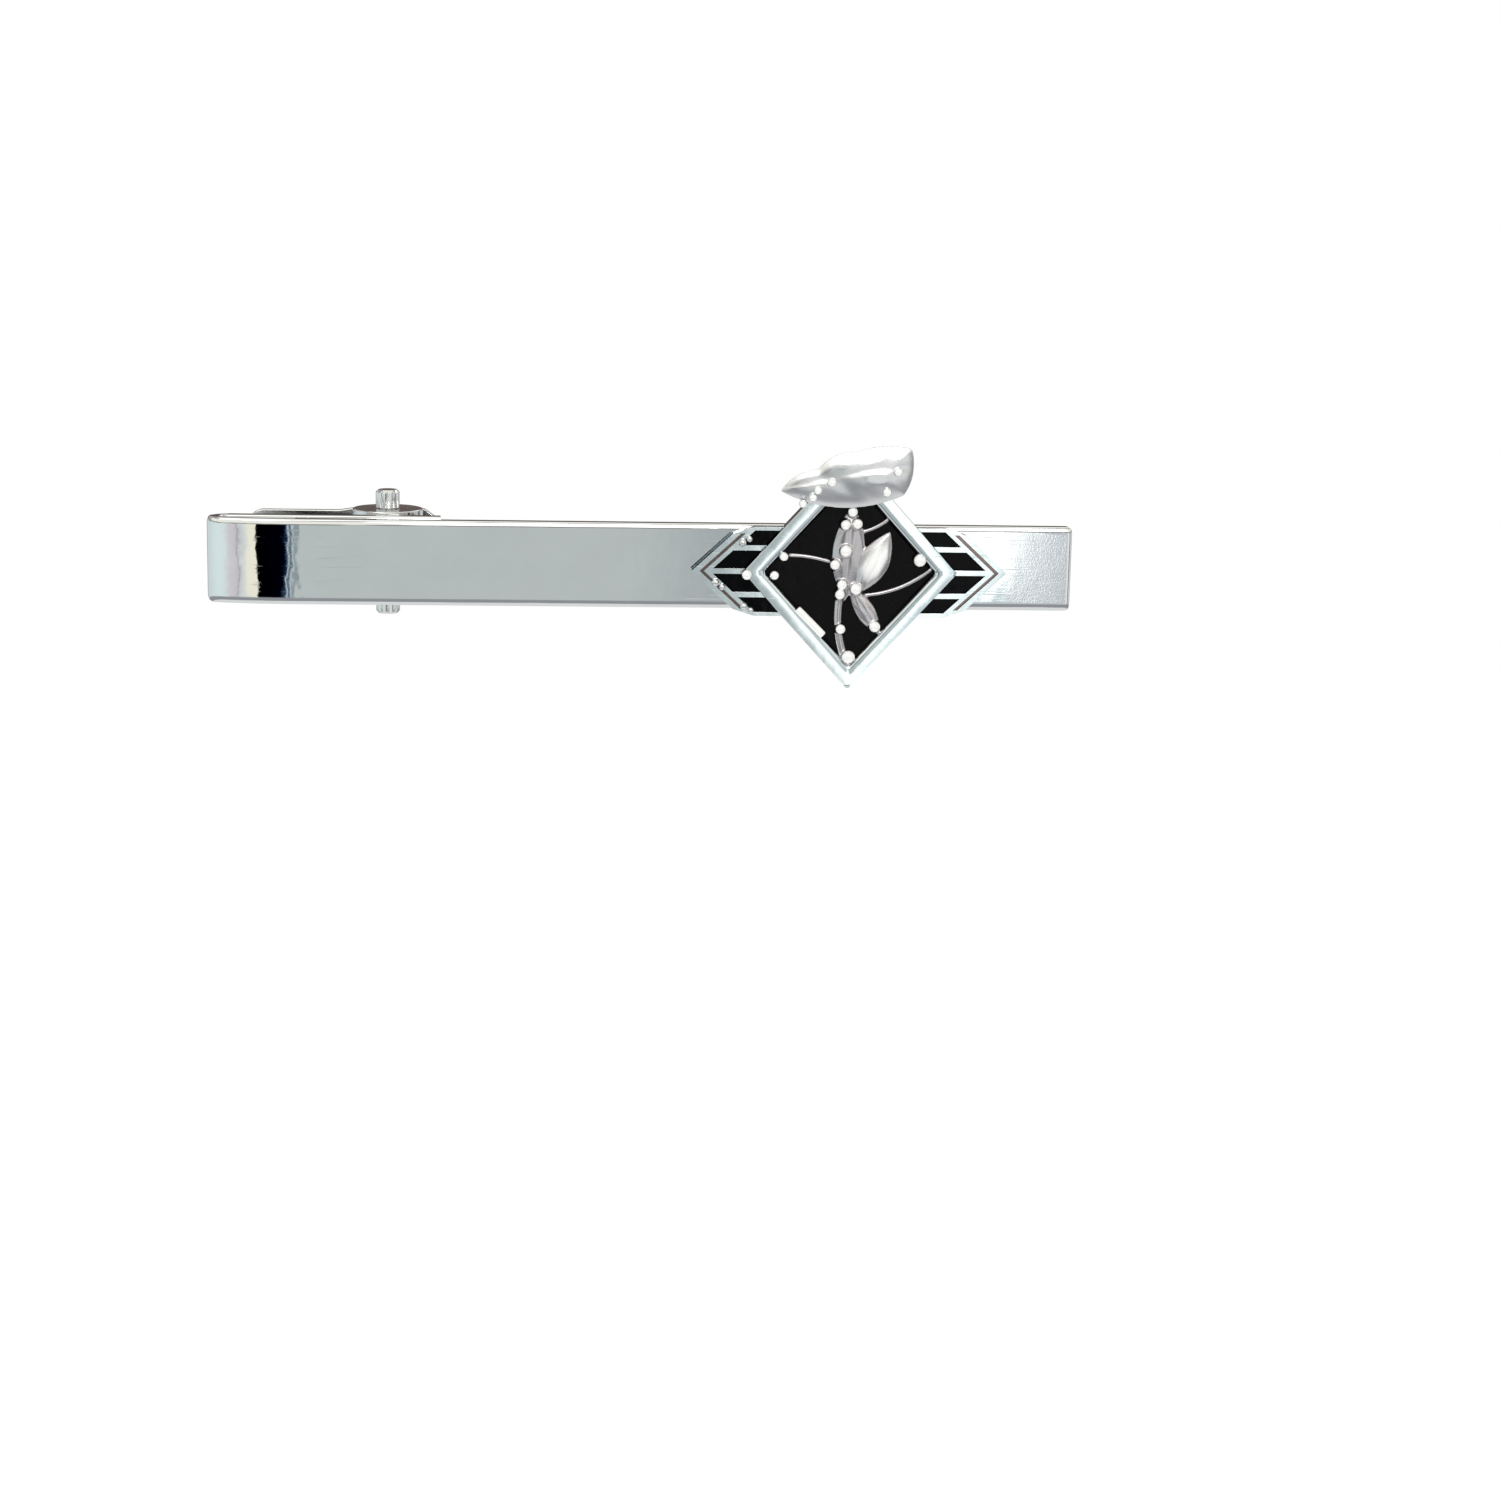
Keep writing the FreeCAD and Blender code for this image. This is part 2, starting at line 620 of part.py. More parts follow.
def ring(edge):
    """How far out of the diamond an edge of the frame runs: 1 on the outline, less inside it."""
    wide, tall = amount("frameWidth"), amount("frameHeight")
    return min(abs(vertex.X) / wide + abs(vertex.Z) / tall for vertex in edge.Vertexes)


# The sprig's points are shares of the field's half width and half height.
sprigStems = [
    # foot, middle, top
    ((0.0, -1.0), (-0.13, -0.55), (-0.05, -0.05)),
    ((0.01, 0.6), (0.02, 0.8), (0.0, 1.0)),
]
sprigLeaves = [
    # foot, tip, half width as a share of the leaf's length
    ((-0.06, -0.32), (0.02, 0.74), 0.17),
    ((0.1, -0.22), (0.46, 0.45), 0.22),
    ((0.0, -0.14), (0.38, -0.68), 0.17),
]
sprigTendrils = [
    # start, middle, height at which the end meets the frame, side
    ((-0.08, 0.06), (-0.45, 0.16), 0.176, -1),
    ((0.04, -0.24), (0.55, -0.17), 0.045, 1),
    ((0.03, 0.42), (0.25, 0.47), 0.57, 1),
]
sprigBerries = [
    # across, up, size against the others; the top berry has a size of its own for its place
    (-0.07, 0.516, 1.0), (0.07, 0.528, 1.0), (-0.06, 0.239, 1.15),
    (-0.184, 0.089, 1.0), (-0.096, -0.124, 1.0), (-0.117, -0.23, 1.0), (-0.1, -0.6, 1.0),
    (0.0, -0.9, 1.25), (0.3, -0.57, 1.1), (-0.78, 0.17, 0.9), (0.07, -0.17, 1.1),
]


def makeSprig():
    """The raised sprig: a stem, leaves, tendrils that reach the frame, and berries."""
    wide, tall = amount("fieldWidth"), amount("fieldHeight")
    floor, rise = amount("floorFront"), amount("sprigRise")

    def spot(across, up):
        return FreeCAD.Vector(across * wide, -floor, up * tall)

    def raised(face, share):
        return face.extrude(FreeCAD.Vector(0, -rise * share, 0))

    def band(points, width):
        arc = Part.Arc(*points).toShape()
        return Part.Wire([arc]).makeOffset2D(width / 2, fill=True)

    def leaf(foot, tip, fullness):
        along = tip - foot
        aside = FreeCAD.Vector(-along.z, 0, along.x) * fullness
        middle = foot + along * 0.5
        edges = [Part.Arc(foot, middle + aside, tip).toShape(), Part.Arc(tip, middle - aside, foot).toShape()]
        return Part.Face(Part.Wire(edges))

    pieces = []
    for stem in sprigStems:
        points = [spot(*point) for point in stem]
        pieces.append(raised(band(points, amount("stemWidth")), amount("stemRise")))
    for foot, tip, fullness in sprigLeaves:
        pieces.append(raised(leaf(spot(*foot), spot(*tip), fullness), 1.0))
    for start, middle, height, side in sprigTendrils:
        end = spot(side * (1.0 - height), height)
        points = [spot(*start), spot(*middle), end]
        pieces.append(raised(band(points, amount("tendrilWidth")), amount("tendrilRise")))
    topBerry = (0.01, amount("topBerry"), 1.0)
    for across, up, share in [topBerry] + sprigBerries:
        radius = amount("berryRadius") * share
        foot = spot(across, up)
        pieces.append(Part.makeCylinder(radius, rise, foot, FreeCAD.Vector(0, -1, 0)))
        ball = Part.makeSphere(radius, foot + FreeCAD.Vector(0, -rise, 0))
        pieces.append(ball)
    whole = pieces[0].fuse(pieces[1:]).removeSplitter()
    field = Part.makePolygon([spot(1, 0), spot(0, 1), spot(-1, 0), spot(0, -1), spot(1, 0)])
    room = Part.Face(field).extrude(FreeCAD.Vector(0, -rise - 2 * amount("berryRadius"), 0))
    sprig = doc.addObject("Part::Feature", "sprig_relief")
    sprig.Label = "sprig_relief"
    sprig.Shape = whole.common(room)
    sprig.setExpression("Placement.Base.x", tied("emblemX"))
    sprig.setExpression("Placement.Base.z", tied("-emblemDrop"))
    return sprig


def makeFieldEnamel(sprig):
    """Black enamel fills the field round the sprig, so it falls into separate cells."""
    block = emblemBody("field_block")
    layer(block, "floorFront", "floorFront + fieldFill", diamond("fieldWidth", "fieldHeight"))
    cut = doc.addObject("Part::Cut", "field_cut")
    cut.Base = block
    cut.Tool = sprig
    doc.recompute()
    middle = FreeCAD.Vector(amount("emblemX"), 0, -amount("emblemDrop"))

    def bearing(solid):
        away = solid.CenterOfMass - middle
        return math.atan2(away.x, away.z) % (2 * math.pi)

    cells = []
    for number, solid in enumerate(sorted(cut.Shape.Solids, key=bearing), start=1):
        cell = doc.addObject("Part::Feature", "field_enamel_%d" % number)
        cell.Label = "field_enamel_%d" % number
        cell.Shape = solid
        cells.append(cell)
    return cells


def makeFanEnamel():
    cells = []
    for name, side in (("left", -1), ("right", 1)):
        for row in (1, 2, 3, 4):
            body = emblemBody("fan_enamel_%s_%d" % (name, row))
            layer(body, "floorFront", "floorFront + fanFill", fanCell(side, row))
            cells.append(body)
    return cells


# The crest leaf's corners from crestTop, each with the radius of the lobe that follows it.
crestCorners = [(-4.75, -2.4, 3.2), (-2.3, -0.95, 3.0), (0.2, 0.2, 6.0), (3.8, 0.45, 3.4), (3.35, -2.6, 9.0)]
crestMiddle = (0.3, -1.3)
crestVein = [(-3.4, -2.0), (2.6, -0.9)]


def crestOutline(share):
    """The leaf's outline, shrunk about its middle to a share of its size."""
    corners = []
    for x, z, radius in crestCorners:
        across = crestMiddle[0] + share * (x - crestMiddle[0])
        up = crestMiddle[1] + share * (z - crestMiddle[1])
        corners.append(("%.3f * crestSize" % across, "crestTop + %.3f * crestSize" % up,
                        "%.3f * crestSize" % (share * radius), -1))
    return corners


def makeCrestLeaf():
    """A broad leaf laid over the frame's top corner, in two steps with a groove for its vein."""
    body = emblemBody("crest_leaf")
    layer(body, "frameFront", "frameFront + crestThick - crestStep", crestOutline(1.0))
    upper = crestOutline(amount("crestUpper"))
    layer(body, "frameFront + crestThick - crestStep", "frameFront + crestThick", upper)
    (startX, startZ), (endX, endZ) = crestVein
    start, end = "%.1f * crestSize" % startX, "%.1f * crestSize" % endX
    low, high = "crestTop + %.1f * crestSize" % startZ, "crestTop + %.1f * crestSize" % endZ
    half = "veinWidth / 2"
    sink(body, "frameFront + crestThick - veinDepth", "frameFront + crestThick", [
        (start, "%s - %s" % (low, half)), (end, "%s - %s" % (high, half)),
        (end, "%s + %s" % (high, half)), (start, "%s + %s" % (low, half)),
    ])
    return body


def makeEverything():
    nodes = [makeFrontBar(), makeBracketSolder(), makeHingeBracket(), makeHingePin()]
    nodes += [makeTorsionSpring(), makeClampLever()]
    nodes += [makeEmblemSolder(), makeEmblemPlate(), makeDiamondFrame()]
    sprig = makeSprig()
    nodes += [sprig] + makeFieldEnamel(sprig) + makeFanEnamel() + [makeCrestLeaf()]
    return nodes


def checkAndWrite(nodes):
    doc.recompute()
    for item in doc.Objects:
        if "Invalid" in item.State or "Error" in item.State:
            raise RuntimeError("%s failed: %s" % (item.Name, item.State))
    for node in nodes:
        if node.Shape.isNull() or not node.Shape.isValid():
            raise RuntimeError("%s has no valid shape" % node.Label)
    os.makedirs("parts", exist_ok=True)
    for node in nodes:
        node.Shape.exportStep("parts/%s.step" % node.Label)
        box = node.Shape.BoundBox
        print("%-22s %d solid(s) %9.3f mm3  x %.2f..%.2f y %.2f..%.2f z %.2f..%.2f" % (
            node.Label, len(node.Shape.Solids), node.Shape.Volume,
            box.XMin, box.XMax, box.YMin, box.YMax, box.ZMin, box.ZMax))


checkAndWrite(makeEverything())
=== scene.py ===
import math
import bmesh
import bpy
from mathutils import Matrix, Vector, kdtree


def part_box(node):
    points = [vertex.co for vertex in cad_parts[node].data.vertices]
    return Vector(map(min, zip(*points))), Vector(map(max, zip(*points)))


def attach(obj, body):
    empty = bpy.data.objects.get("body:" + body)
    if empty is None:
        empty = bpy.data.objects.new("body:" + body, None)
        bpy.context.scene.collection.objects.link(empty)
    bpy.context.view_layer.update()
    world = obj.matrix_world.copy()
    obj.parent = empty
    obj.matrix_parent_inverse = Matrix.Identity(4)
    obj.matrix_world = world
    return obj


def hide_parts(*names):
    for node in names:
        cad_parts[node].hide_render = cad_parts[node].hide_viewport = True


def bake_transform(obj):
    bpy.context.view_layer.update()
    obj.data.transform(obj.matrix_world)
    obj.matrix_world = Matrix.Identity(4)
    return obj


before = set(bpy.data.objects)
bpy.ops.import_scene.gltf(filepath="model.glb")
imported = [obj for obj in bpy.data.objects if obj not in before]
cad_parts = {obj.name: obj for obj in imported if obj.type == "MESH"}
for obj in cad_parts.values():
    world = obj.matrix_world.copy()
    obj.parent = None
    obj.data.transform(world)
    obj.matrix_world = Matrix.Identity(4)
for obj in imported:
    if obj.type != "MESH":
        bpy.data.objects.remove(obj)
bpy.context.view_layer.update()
mm = 0.001  # lengths below are millimetres times this, or plain millimetres where a note says so
print("frame loaded")


class Wire:  # a socket that takes part in sums
    def __init__(self, bench, socket):
        self.bench = bench
        self.socket = socket

    def also(self, name):
        return Wire(self.bench, self.socket.node.outputs[name])

    def __add__(self, other):
        return self.bench.maths("ADD", self, other)

    def __sub__(self, other):
        return self.bench.maths("SUBTRACT", self, other)

    def __rsub__(self, other):
        return self.bench.maths("SUBTRACT", other, self)

    def __mul__(self, other):
        return self.bench.maths("MULTIPLY", self, other)

    def __truediv__(self, other):
        return self.bench.maths("DIVIDE", self, other)

    def __rtruediv__(self, other):
        return self.bench.maths("DIVIDE", other, self)

    __radd__ = __add__
    __rmul__ = __mul__


class Bench:  # a node tree and the one way nodes are added to it
    def __init__(self, owner):
        owner.use_nodes = True
        self.tree = owner.node_tree
        self.tree.nodes.clear()

    def node(self, kind, settings=None, inputs=None, output=0):
        made = self.tree.nodes.new(kind)
        for name, value in (settings or {}).items():
            if name == "stops":
                self.setStops(made.color_ramp, value)
            else:
                setattr(made, name, value)
        for name, value in (inputs or {}).items():
            if isinstance(value, Wire):
                self.tree.links.new(value.socket, made.inputs[name])
            elif isinstance(value, tuple) and len(value) == 3 and made.inputs[name].type == "RGBA":
                made.inputs[name].default_value = value + (1.0,)
            else:
                made.inputs[name].default_value = value
        return Wire(self, made.outputs[output]) if len(made.outputs) else made

    def setStops(self, ramp, stops):
        while len(ramp.elements) < len(stops):
            ramp.elements.new(1.0)
        for element, (spot, colour) in zip(ramp.elements, stops):
            element.position = spot
            element.color = colour + (1.0,)

    def maths(self, operation, *values):
        return self.node("ShaderNodeMath", {"operation": operation}, dict(enumerate(values)))

    def step(self, value, low, high):  # rises smoothly from 0 at low to 1 at high
        return self.node("ShaderNodeMapRange", {"interpolation_type": "SMOOTHSTEP"},
                         {"Value": value, "From Min": low, "From Max": high})

    def band(self, value, low, high, soft):  # 1 between low and high, falling off over soft
        return self.step(value, low - soft, low + soft) * (1 - self.step(value, high - soft, high + soft))

    def blend(self, factor, first, second):
        return self.node("ShaderNodeMix", {"data_type": "RGBA"}, {0: factor, 6: first, 7: second}, output=2)


studio = {
    "floorDrop": 70 * mm,  # floor below the bar's centre line
    "floorRadius": 400 * mm,
    "floorColour": (0.93, 0.93, 0.925),
    "floorSides": 96,
    "floorGlow": 0.34,
    "grainScale": 40.0,
    "grainRoughness": (0.6, 0.2),  # lowest, and how far the grain adds to it
    "backdrop": (1.0, 1.0, 1.0),
}

cameraView = {
    "yaw": -4.49,  # degrees
    "pitch": 11.57,
    "roll": 1.18,
    "slideRight": -7.13 * mm,  # the bar's centre in the camera's own right and up directions
    "slideUp": 12.34 * mm,
    "distance": 198.3 * mm,
    "lens": 72.0,
    "sensor": 36.0,
    "nearest": 0.005,
    "furthest": 20,
}


def makeCamera():
    yaw, pitch, roll = (math.radians(cameraView[name]) for name in ("yaw", "pitch", "roll"))
    back = Vector((math.sin(yaw) * math.cos(pitch), -math.cos(yaw) * math.cos(pitch), math.sin(pitch)))
    level = Vector((math.cos(yaw), math.sin(yaw), 0))
    upright = back.cross(level)
    right = level * math.cos(roll) + upright * math.sin(roll)
    up = upright * math.cos(roll) - level * math.sin(roll)
    spot = back * cameraView["distance"] - right * cameraView["slideRight"] - up * cameraView["slideUp"]
    data = bpy.data.cameras.new("studioCamera")
    data.lens = cameraView["lens"]
    data.sensor_width = cameraView["sensor"]
    data.clip_start = cameraView["nearest"]
    data.clip_end = cameraView["furthest"]
    camera = bpy.data.objects.new("studioCamera", data)
    camera.matrix_world = Matrix.Translation(spot) @ Matrix((right, up, back)).transposed().to_4x4()
    bpy.context.scene.collection.objects.link(camera)
    bpy.context.scene.camera = camera


# what the metal mirrors: colours of the room by direction, 0 straight in front and 90 to the right
roomRound = [
    (-180, (0.60, 0.62, 0.62)),
    (-125, (0.66, 0.74, 0.75)),
    (-60, (0.74, 0.86, 0.86)),
    (-28, (0.74, 0.85, 0.85)),
    (14, (0.62, 0.63, 0.66)),
    (24, (0.90, 0.91, 0.90)),
    (60, (0.70, 0.72, 0.72)),
    (180, (0.60, 0.62, 0.62)),
]

roomNear = [  # the same for the directions the bar's face mirrors, drawn finer
    (-28, (0.74, 0.85, 0.85)),
    (-26.6, (0.70, 0.68, 0.71)),
    (-23.3, (0.64, 0.61, 0.64)),
    (-22.9, (0.38, 0.38, 0.40)),
    (-22.4, (0.62, 0.64, 0.64)),
    (-20.2, (0.78, 0.82, 0.80)),
    (-19.6, (0.93, 0.89, 0.74)),
    (-16.8, (0.95, 0.92, 0.78)),
    (-16.5, (0.0, 0.0, 0.0)),
    (-8.2, (0.0, 0.0, 0.003)),
    (-7.5, (0.006, 0.02, 0.05)),
    (-7.0, (0.03, 0.07, 0.12)),
    (-6.7, (0.62, 0.69, 0.72)),
    (-6.2, (0.10, 0.16, 0.22)),
    (-5.7, (0.12, 0.18, 0.23)),
    (-5.4, (0.62, 0.68, 0.68)),
    (-4.95, (0.28, 0.33, 0.36)),
    (-4.55, (0.30, 0.35, 0.38)),
    (-4.3, (0.58, 0.62, 0.61)),
    (-4.2, (0.53, 0.585, 0.57)),
    (2.2, (0.53, 0.57, 0.57)),
    (4.2, (0.40, 0.44, 0.45)),
    (5.6, (1.0, 1.0, 1.0)),
    (9.6, (1.0, 1.0, 1.0)),
    (9.8, (0.72, 0.92, 0.94)),
    (10.05, (0.50, 0.61, 0.64)),
    (10.35, (0.66, 0.76, 0.77)),
    (10.6, (0.57, 0.60, 0.64)),
    (14, (0.56, 0.56, 0.60)),
]

room = {
    "above": (0.95, 0.94, 0.88),
    "line": (0.22, 0.21, 0.20),
    "below": (0.30, 0.31, 0.33),
    "ground": (0.78, 0.79, 0.79),
    "dark": (0.07, 0.07, 0.075),
    "behind": (0.30, 0.30, 0.30),
    "rear": (0.11, 0.08, 0.075),
    "aboveFrom": (9.0, 12.0),  # elevations in degrees over which the colour changes
    "groundFrom": (-41.0, -35.0),
    "lineBand": (8.5, 13.0, 1.5),  # lowest and highest elevation, and the softness of its edges
    "belowBand": (-38.0, -17.0, 3.0),
    "darkBand": (42.0, 56.0, 3.0),
    "darkStrips": [(46.0, 60.0), (118.0, 134.0), (-164.0, -150.0)],
    "stripSoft": 2.0,
    "darkShare": 0.8,
    "near": (-27.0, 13.0),  # where the finer colours hold
    "window": (1.45, 1.46, 1.45),
    "windowBand": (5.2, 9.65, 0.2),
    "nearSoft": 1.0,
    "leanFrom": -8.1,  # the window's right side leans over below this elevation
    "leanRate": 1.8,
    "leanMost": 1.4,
    "leanStart": (5.0, 8.0),
    "leanEnd": (12.0, 20.0),
    "behindDepth": (0.1, 0.4),  # parts of a unit direction from here on
    "behindRise": (0.05, 0.72, 0.04),
    "behindShare": 0.75,
    "rearDepth": (0.75, 0.9),
    "rearRise": (0.05, 0.24, 0.03),
}


def roomRamp(bench, colours, azimuth):  # lays a list of directions and colours on one ramp
    left, right = colours[0][0], colours[-1][0]
    stops = [((turn - left) / (right - left), shade) for turn, shade in colours]
    return bench.node("ShaderNodeValToRGB", {"stops": stops}, {"Fac": (azimuth - left) / (right - left)})


def makeRoom():
    world = bpy.data.worlds.new("studioRoom")
    bpy.context.scene.world = world
    bench = Bench(world)
    heading = bench.node("ShaderNodeTexCoord")
    x = bench.node("ShaderNodeSeparateXYZ", None, {0: heading})
    y, z = x.also("Y"), x.also("Z")
    degrees = 180 / math.pi
    azimuth = bench.maths("ARCTAN2", x, y * -1) * degrees
    elevation = bench.maths("ARCSINE", z) * degrees
    lean = bench.maths("MAXIMUM", room["leanFrom"] - elevation, 0.0) * room["leanRate"]
    lean = bench.maths("MINIMUM", lean * bench.step(azimuth, *room["leanStart"]), room["leanMost"])
    azimuth = azimuth + lean * (1 - bench.step(azimuth, *room["leanEnd"]))
    front = roomRamp(bench, roomRound, azimuth)
    near = roomRamp(bench, roomNear, azimuth)
    near = bench.blend(bench.band(azimuth, *room["windowBand"]), near, room["window"])
    front = bench.blend(bench.band(azimuth, *room["near"], room["nearSoft"]), front, near)
    for low, high in room["darkStrips"]:
        strip = bench.band(azimuth, low, high, room["stripSoft"])
        front = bench.blend(strip * room["darkShare"], front, room["dark"])
    colour = bench.blend(bench.step(elevation, *room["aboveFrom"]), front, room["above"])
    colour = bench.blend(bench.band(elevation, *room["lineBand"]), colour, room["line"])
    colour = bench.blend(1 - bench.step(elevation, *room["groundFrom"]), colour, room["ground"])
    colour = bench.blend(bench.band(elevation, *room["belowBand"]), colour, room["below"])
    colour = bench.blend(bench.band(elevation, *room["darkBand"]) * room["darkShare"], colour, room["dark"])
    behind = bench.step(y, *room["behindDepth"]) * bench.band(z, *room["behindRise"])
    colour = bench.blend(behind * room["behindShare"], colour, room["behind"])
    rear = bench.step(y, *room["rearDepth"]) * bench.band(z, *room["rearRise"])
    colour = bench.blend(rear, colour, room["rear"])
    seen = bench.node("ShaderNodeBackground", None, {"Color": studio["backdrop"]})
    glow = bench.node("ShaderNodeBackground", None, {"Color": colour})
    rays = bench.node("ShaderNodeLightPath")
    both = bench.node("ShaderNodeMixShader", None, {0: rays, 1: glow, 2: seen})
    bench.node("ShaderNodeOutputWorld", None, {"Surface": both})


def makeFloor():
    shape = bmesh.new()
    bmesh.ops.create_circle(shape, cap_ends=True, radius=studio["floorRadius"], segments=studio["floorSides"])
    bmesh.ops.translate(shape, verts=shape.verts, vec=(0, 0, -studio["floorDrop"]))
    floor = makeObject("studioFloor", shape)
    material = bpy.data.materials.new("paleFloor")
    bench = Bench(material)
    spots = bench.node("ShaderNodeTexCoord", output=3)
    grain = bench.node("ShaderNodeTexNoise", None,
                       {"Vector": spots, "Scale": studio["grainScale"], "Detail": 3.0})
    smoothest, spread = studio["grainRoughness"]
    shader = bench.node("ShaderNodeBsdfPrincipled", None, {
        "Base Color": studio["floorColour"], "Roughness": grain * spread + smoothest,
        "Emission Color": (1.0, 1.0, 1.0), "Emission Strength": studio["floorGlow"]})
    bench.node("ShaderNodeOutputMaterial", None, {"Surface": shader})
    floor.data.materials.append(material)
    floor.visible_glossy = False  # the metal mirrors the room alone


lamps = {
    # name: place, size, power
    "keyPanel": ((-0.25, -0.35, 0.6), 0.4, 0.5),
    "frontPanel": ((0.06, -0.45, 0.27), 0.2, 0.6),
    "rearPanel": ((0.3, 0.5, 0.5), 0.4, 0.5),
}


def makeLamp(name, spot, size, power):
    data = bpy.data.lights.new(name, "AREA")
    data.size = size
    data.energy = power
    lamp = bpy.data.objects.new(name, data)
    aim = (-Vector(spot)).to_track_quat("-Z", "Y")
    lamp.matrix_world = Matrix.Translation(spot) @ aim.to_matrix().to_4x4()
    bpy.context.scene.collection.objects.link(lamp)


def makeObject(name, shape, angle=35):
    mesh = bpy.data.meshes.new(name)
    shape.to_mesh(mesh)
    shape.free()
    made = bpy.data.objects.new(name, mesh)
    bpy.context.scene.collection.objects.link(made)
    mesh.shade_smooth()
    mesh.set_sharp_from_angle(angle=math.radians(angle))
    return made


def addModifier(piece, kind, settings):
    modifier = piece.modifiers.new(kind.title().replace("_", ""), kind)
    for name, value in settings.items():
        setattr(modifier, name, value)


def dressPiece(piece, material):  # flat faces keep one normal, so that they mirror flatly
    addModifier(piece, "WEIGHTED_NORMAL", {"mode": "FACE_AREA", "weight": 60, "keep_sharp": True})
    piece.data.materials.append(material)


def finishPiece(piece, body, slot, material, *nodes):
    dressPiece(piece, material)
    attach(piece, body)
    if nodes:
        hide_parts(*nodes)


mergeReach = 0.0005 * mm  # corners nearer than this are one


def copyNode(node, scale=1.0):  # a closed copy of a CAD node's mesh
    shape = bmesh.new()
    shape.from_mesh(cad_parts[node].data)
    bmesh.ops.remove_doubles(shape, verts=shape.verts, dist=mergeReach)
    bmesh.ops.scale(shape, verts=shape.verts, vec=(scale, scale, scale))
    return shape


easing = {"flat": math.radians(0.5), "edge": math.radians(28)}  # what counts as flat, and as an edge to round


def easedCopy(node, name, body, slot, material, width, segments=2):  # a CAD node with its edges rounded
    shape = copyNode(node)
    bmesh.ops.dissolve_limit(shape, angle_limit=easing["flat"], verts=shape.verts, edges=shape.edges)
    piece = makeObject(name, shape, angle=30)
    addModifier(piece, "BEVEL", {"width": width, "segments": segments, "limit_method": "ANGLE",
                                 "angle_limit": easing["edge"], "use_clamp_overlap": True})
    finishPiece(piece, body, slot, material, node)


plateFinish = {
    "bar": {
        "colour": (0.86, 0.87, 0.87), "shade": (0.835, 0.845, 0.845),
        "roughness": 0.012, "stain": 0.022, "waveScale": 520.0, "waveHeight": 0.000005,
        "scratchHeight": 0.0000008, "gritHeight": 0.0000002,
        "worn": (23.5 * mm, 26 * mm), "wornGrit": 0.0000022,
        "strained": (-27 * mm, -21.8 * mm, 0.6 * mm), "strainHeight": 0.000016,
        "scratchTurns": (8, 50, 115, 160),
    },
    "emblem": {
        "colour": (0.78, 0.85, 0.85), "shade": (0.72, 0.78, 0.79),
        # low: painted shade laid into the recesses at this depth
        "low": (0.20, 0.15, 0.14), "lowBand": (1.68 * mm, 1.76 * mm, 0.04 * mm),
        "roughness": 0.05, "stain": 0.06, "waveScale": 700.0, "waveHeight": 0.000006,
        "scratchHeight": 0.0000008, "gritHeight": 0.0000004, "scratchTurns": (30, 95),
    },
    "relief": {
        "colour": (0.90, 0.91, 0.90), "shade": (0.84, 0.84, 0.84),
        # low: painted shade over the relief's lower body, below its tops
        "low": (0.62, 0.59, 0.60), "lowBand": (1.3 * mm, 2.38 * mm, 0.08 * mm),
        # painted highlight on the relief's tops: white colour, metal turned down
        "satin": (2.36 * mm, 2.46 * mm), "satinMetal": 0.25, "satinColour": (0.97, 0.97, 0.965),
        "roughness": 0.17, "stain": 0.16, "waveScale": 900.0, "waveHeight": 0.000012,
        "scratchHeight": 0.0000005, "gritHeight": 0.0000008, "scratchTurns": (20, 70),
    },
    "crest": {
        "colour": (0.88, 0.88, 0.88), "shade": (0.79, 0.79, 0.80),
        # painted highlight on the crest's beads: white colour, metal turned down
        "satin": (2.99 * mm, 3.06 * mm), "satinMetal": 0.25, "satinColour": (0.97, 0.97, 0.965),
        "roughness": 0.2, "stain": 0.12, "waveScale": 900.0, "waveHeight": 0.000008,
        "scratchHeight": 0.0000005, "gritHeight": 0.0000008, "scratchTurns": (20, 70),
    },
    "fitting": {
        "colour": (0.84, 0.84, 0.83), "shade": (0.76, 0.76, 0.76),
        "roughness": 0.08, "stain": 0.10, "waveScale": 300.0, "waveHeight": 0.000006,
        "scratchHeight": 0.0000015, "gritHeight": 0.0000005, "scratchTurns": (2, 12, 80),
    },
    "spring": {
        "colour": (0.66, 0.66, 0.65), "shade": (0.50, 0.50, 0.49),
        "roughness": 0.16, "stain": 0.12, "waveScale": 900.0, "waveHeight": 0.000004,
        "scratchHeight": 0.0000015, "gritHeight": 0.0000008, "scratchTurns": (5, 85),
    },
    "solder": {
        "colour": (0.62, 0.62, 0.60), "shade": (0.45, 0.45, 0.44),
        "roughness": 0.33, "stain": 0.2, "waveScale": 1500.0, "waveHeight": 0.00002,
        "scratchHeight": 0.0, "gritHeight": 0.000002, "scratchTurns": (40,),
    },
}


plateGrain = {
    "cloudScale": 420.0,
    "cloudBand": (0.3, 0.7),
    "gritScale": 8000.0,
    "scratchScale": (160, 4000, 7000),
    "scratchBand": (0.64, 0.76),
    "scratchDull": 0.04,
}


def scratchMask(bench, spots, turns):  # hair lines in several directions
    total = 0.0
    for turn in turns:
        laid = bench.node("ShaderNodeMapping", None, {
            "Vector": spots, "Rotation": (0, math.radians(turn), 0), "Scale": plateGrain["scratchScale"]})
        lines = bench.node("ShaderNodeTexNoise", None,
                           {"Vector": laid, "Scale": 1.0, "Detail": 1.0, "Roughness": 0.5})
        total = bench.step(lines, *plateGrain["scratchBand"]) + total
    return total


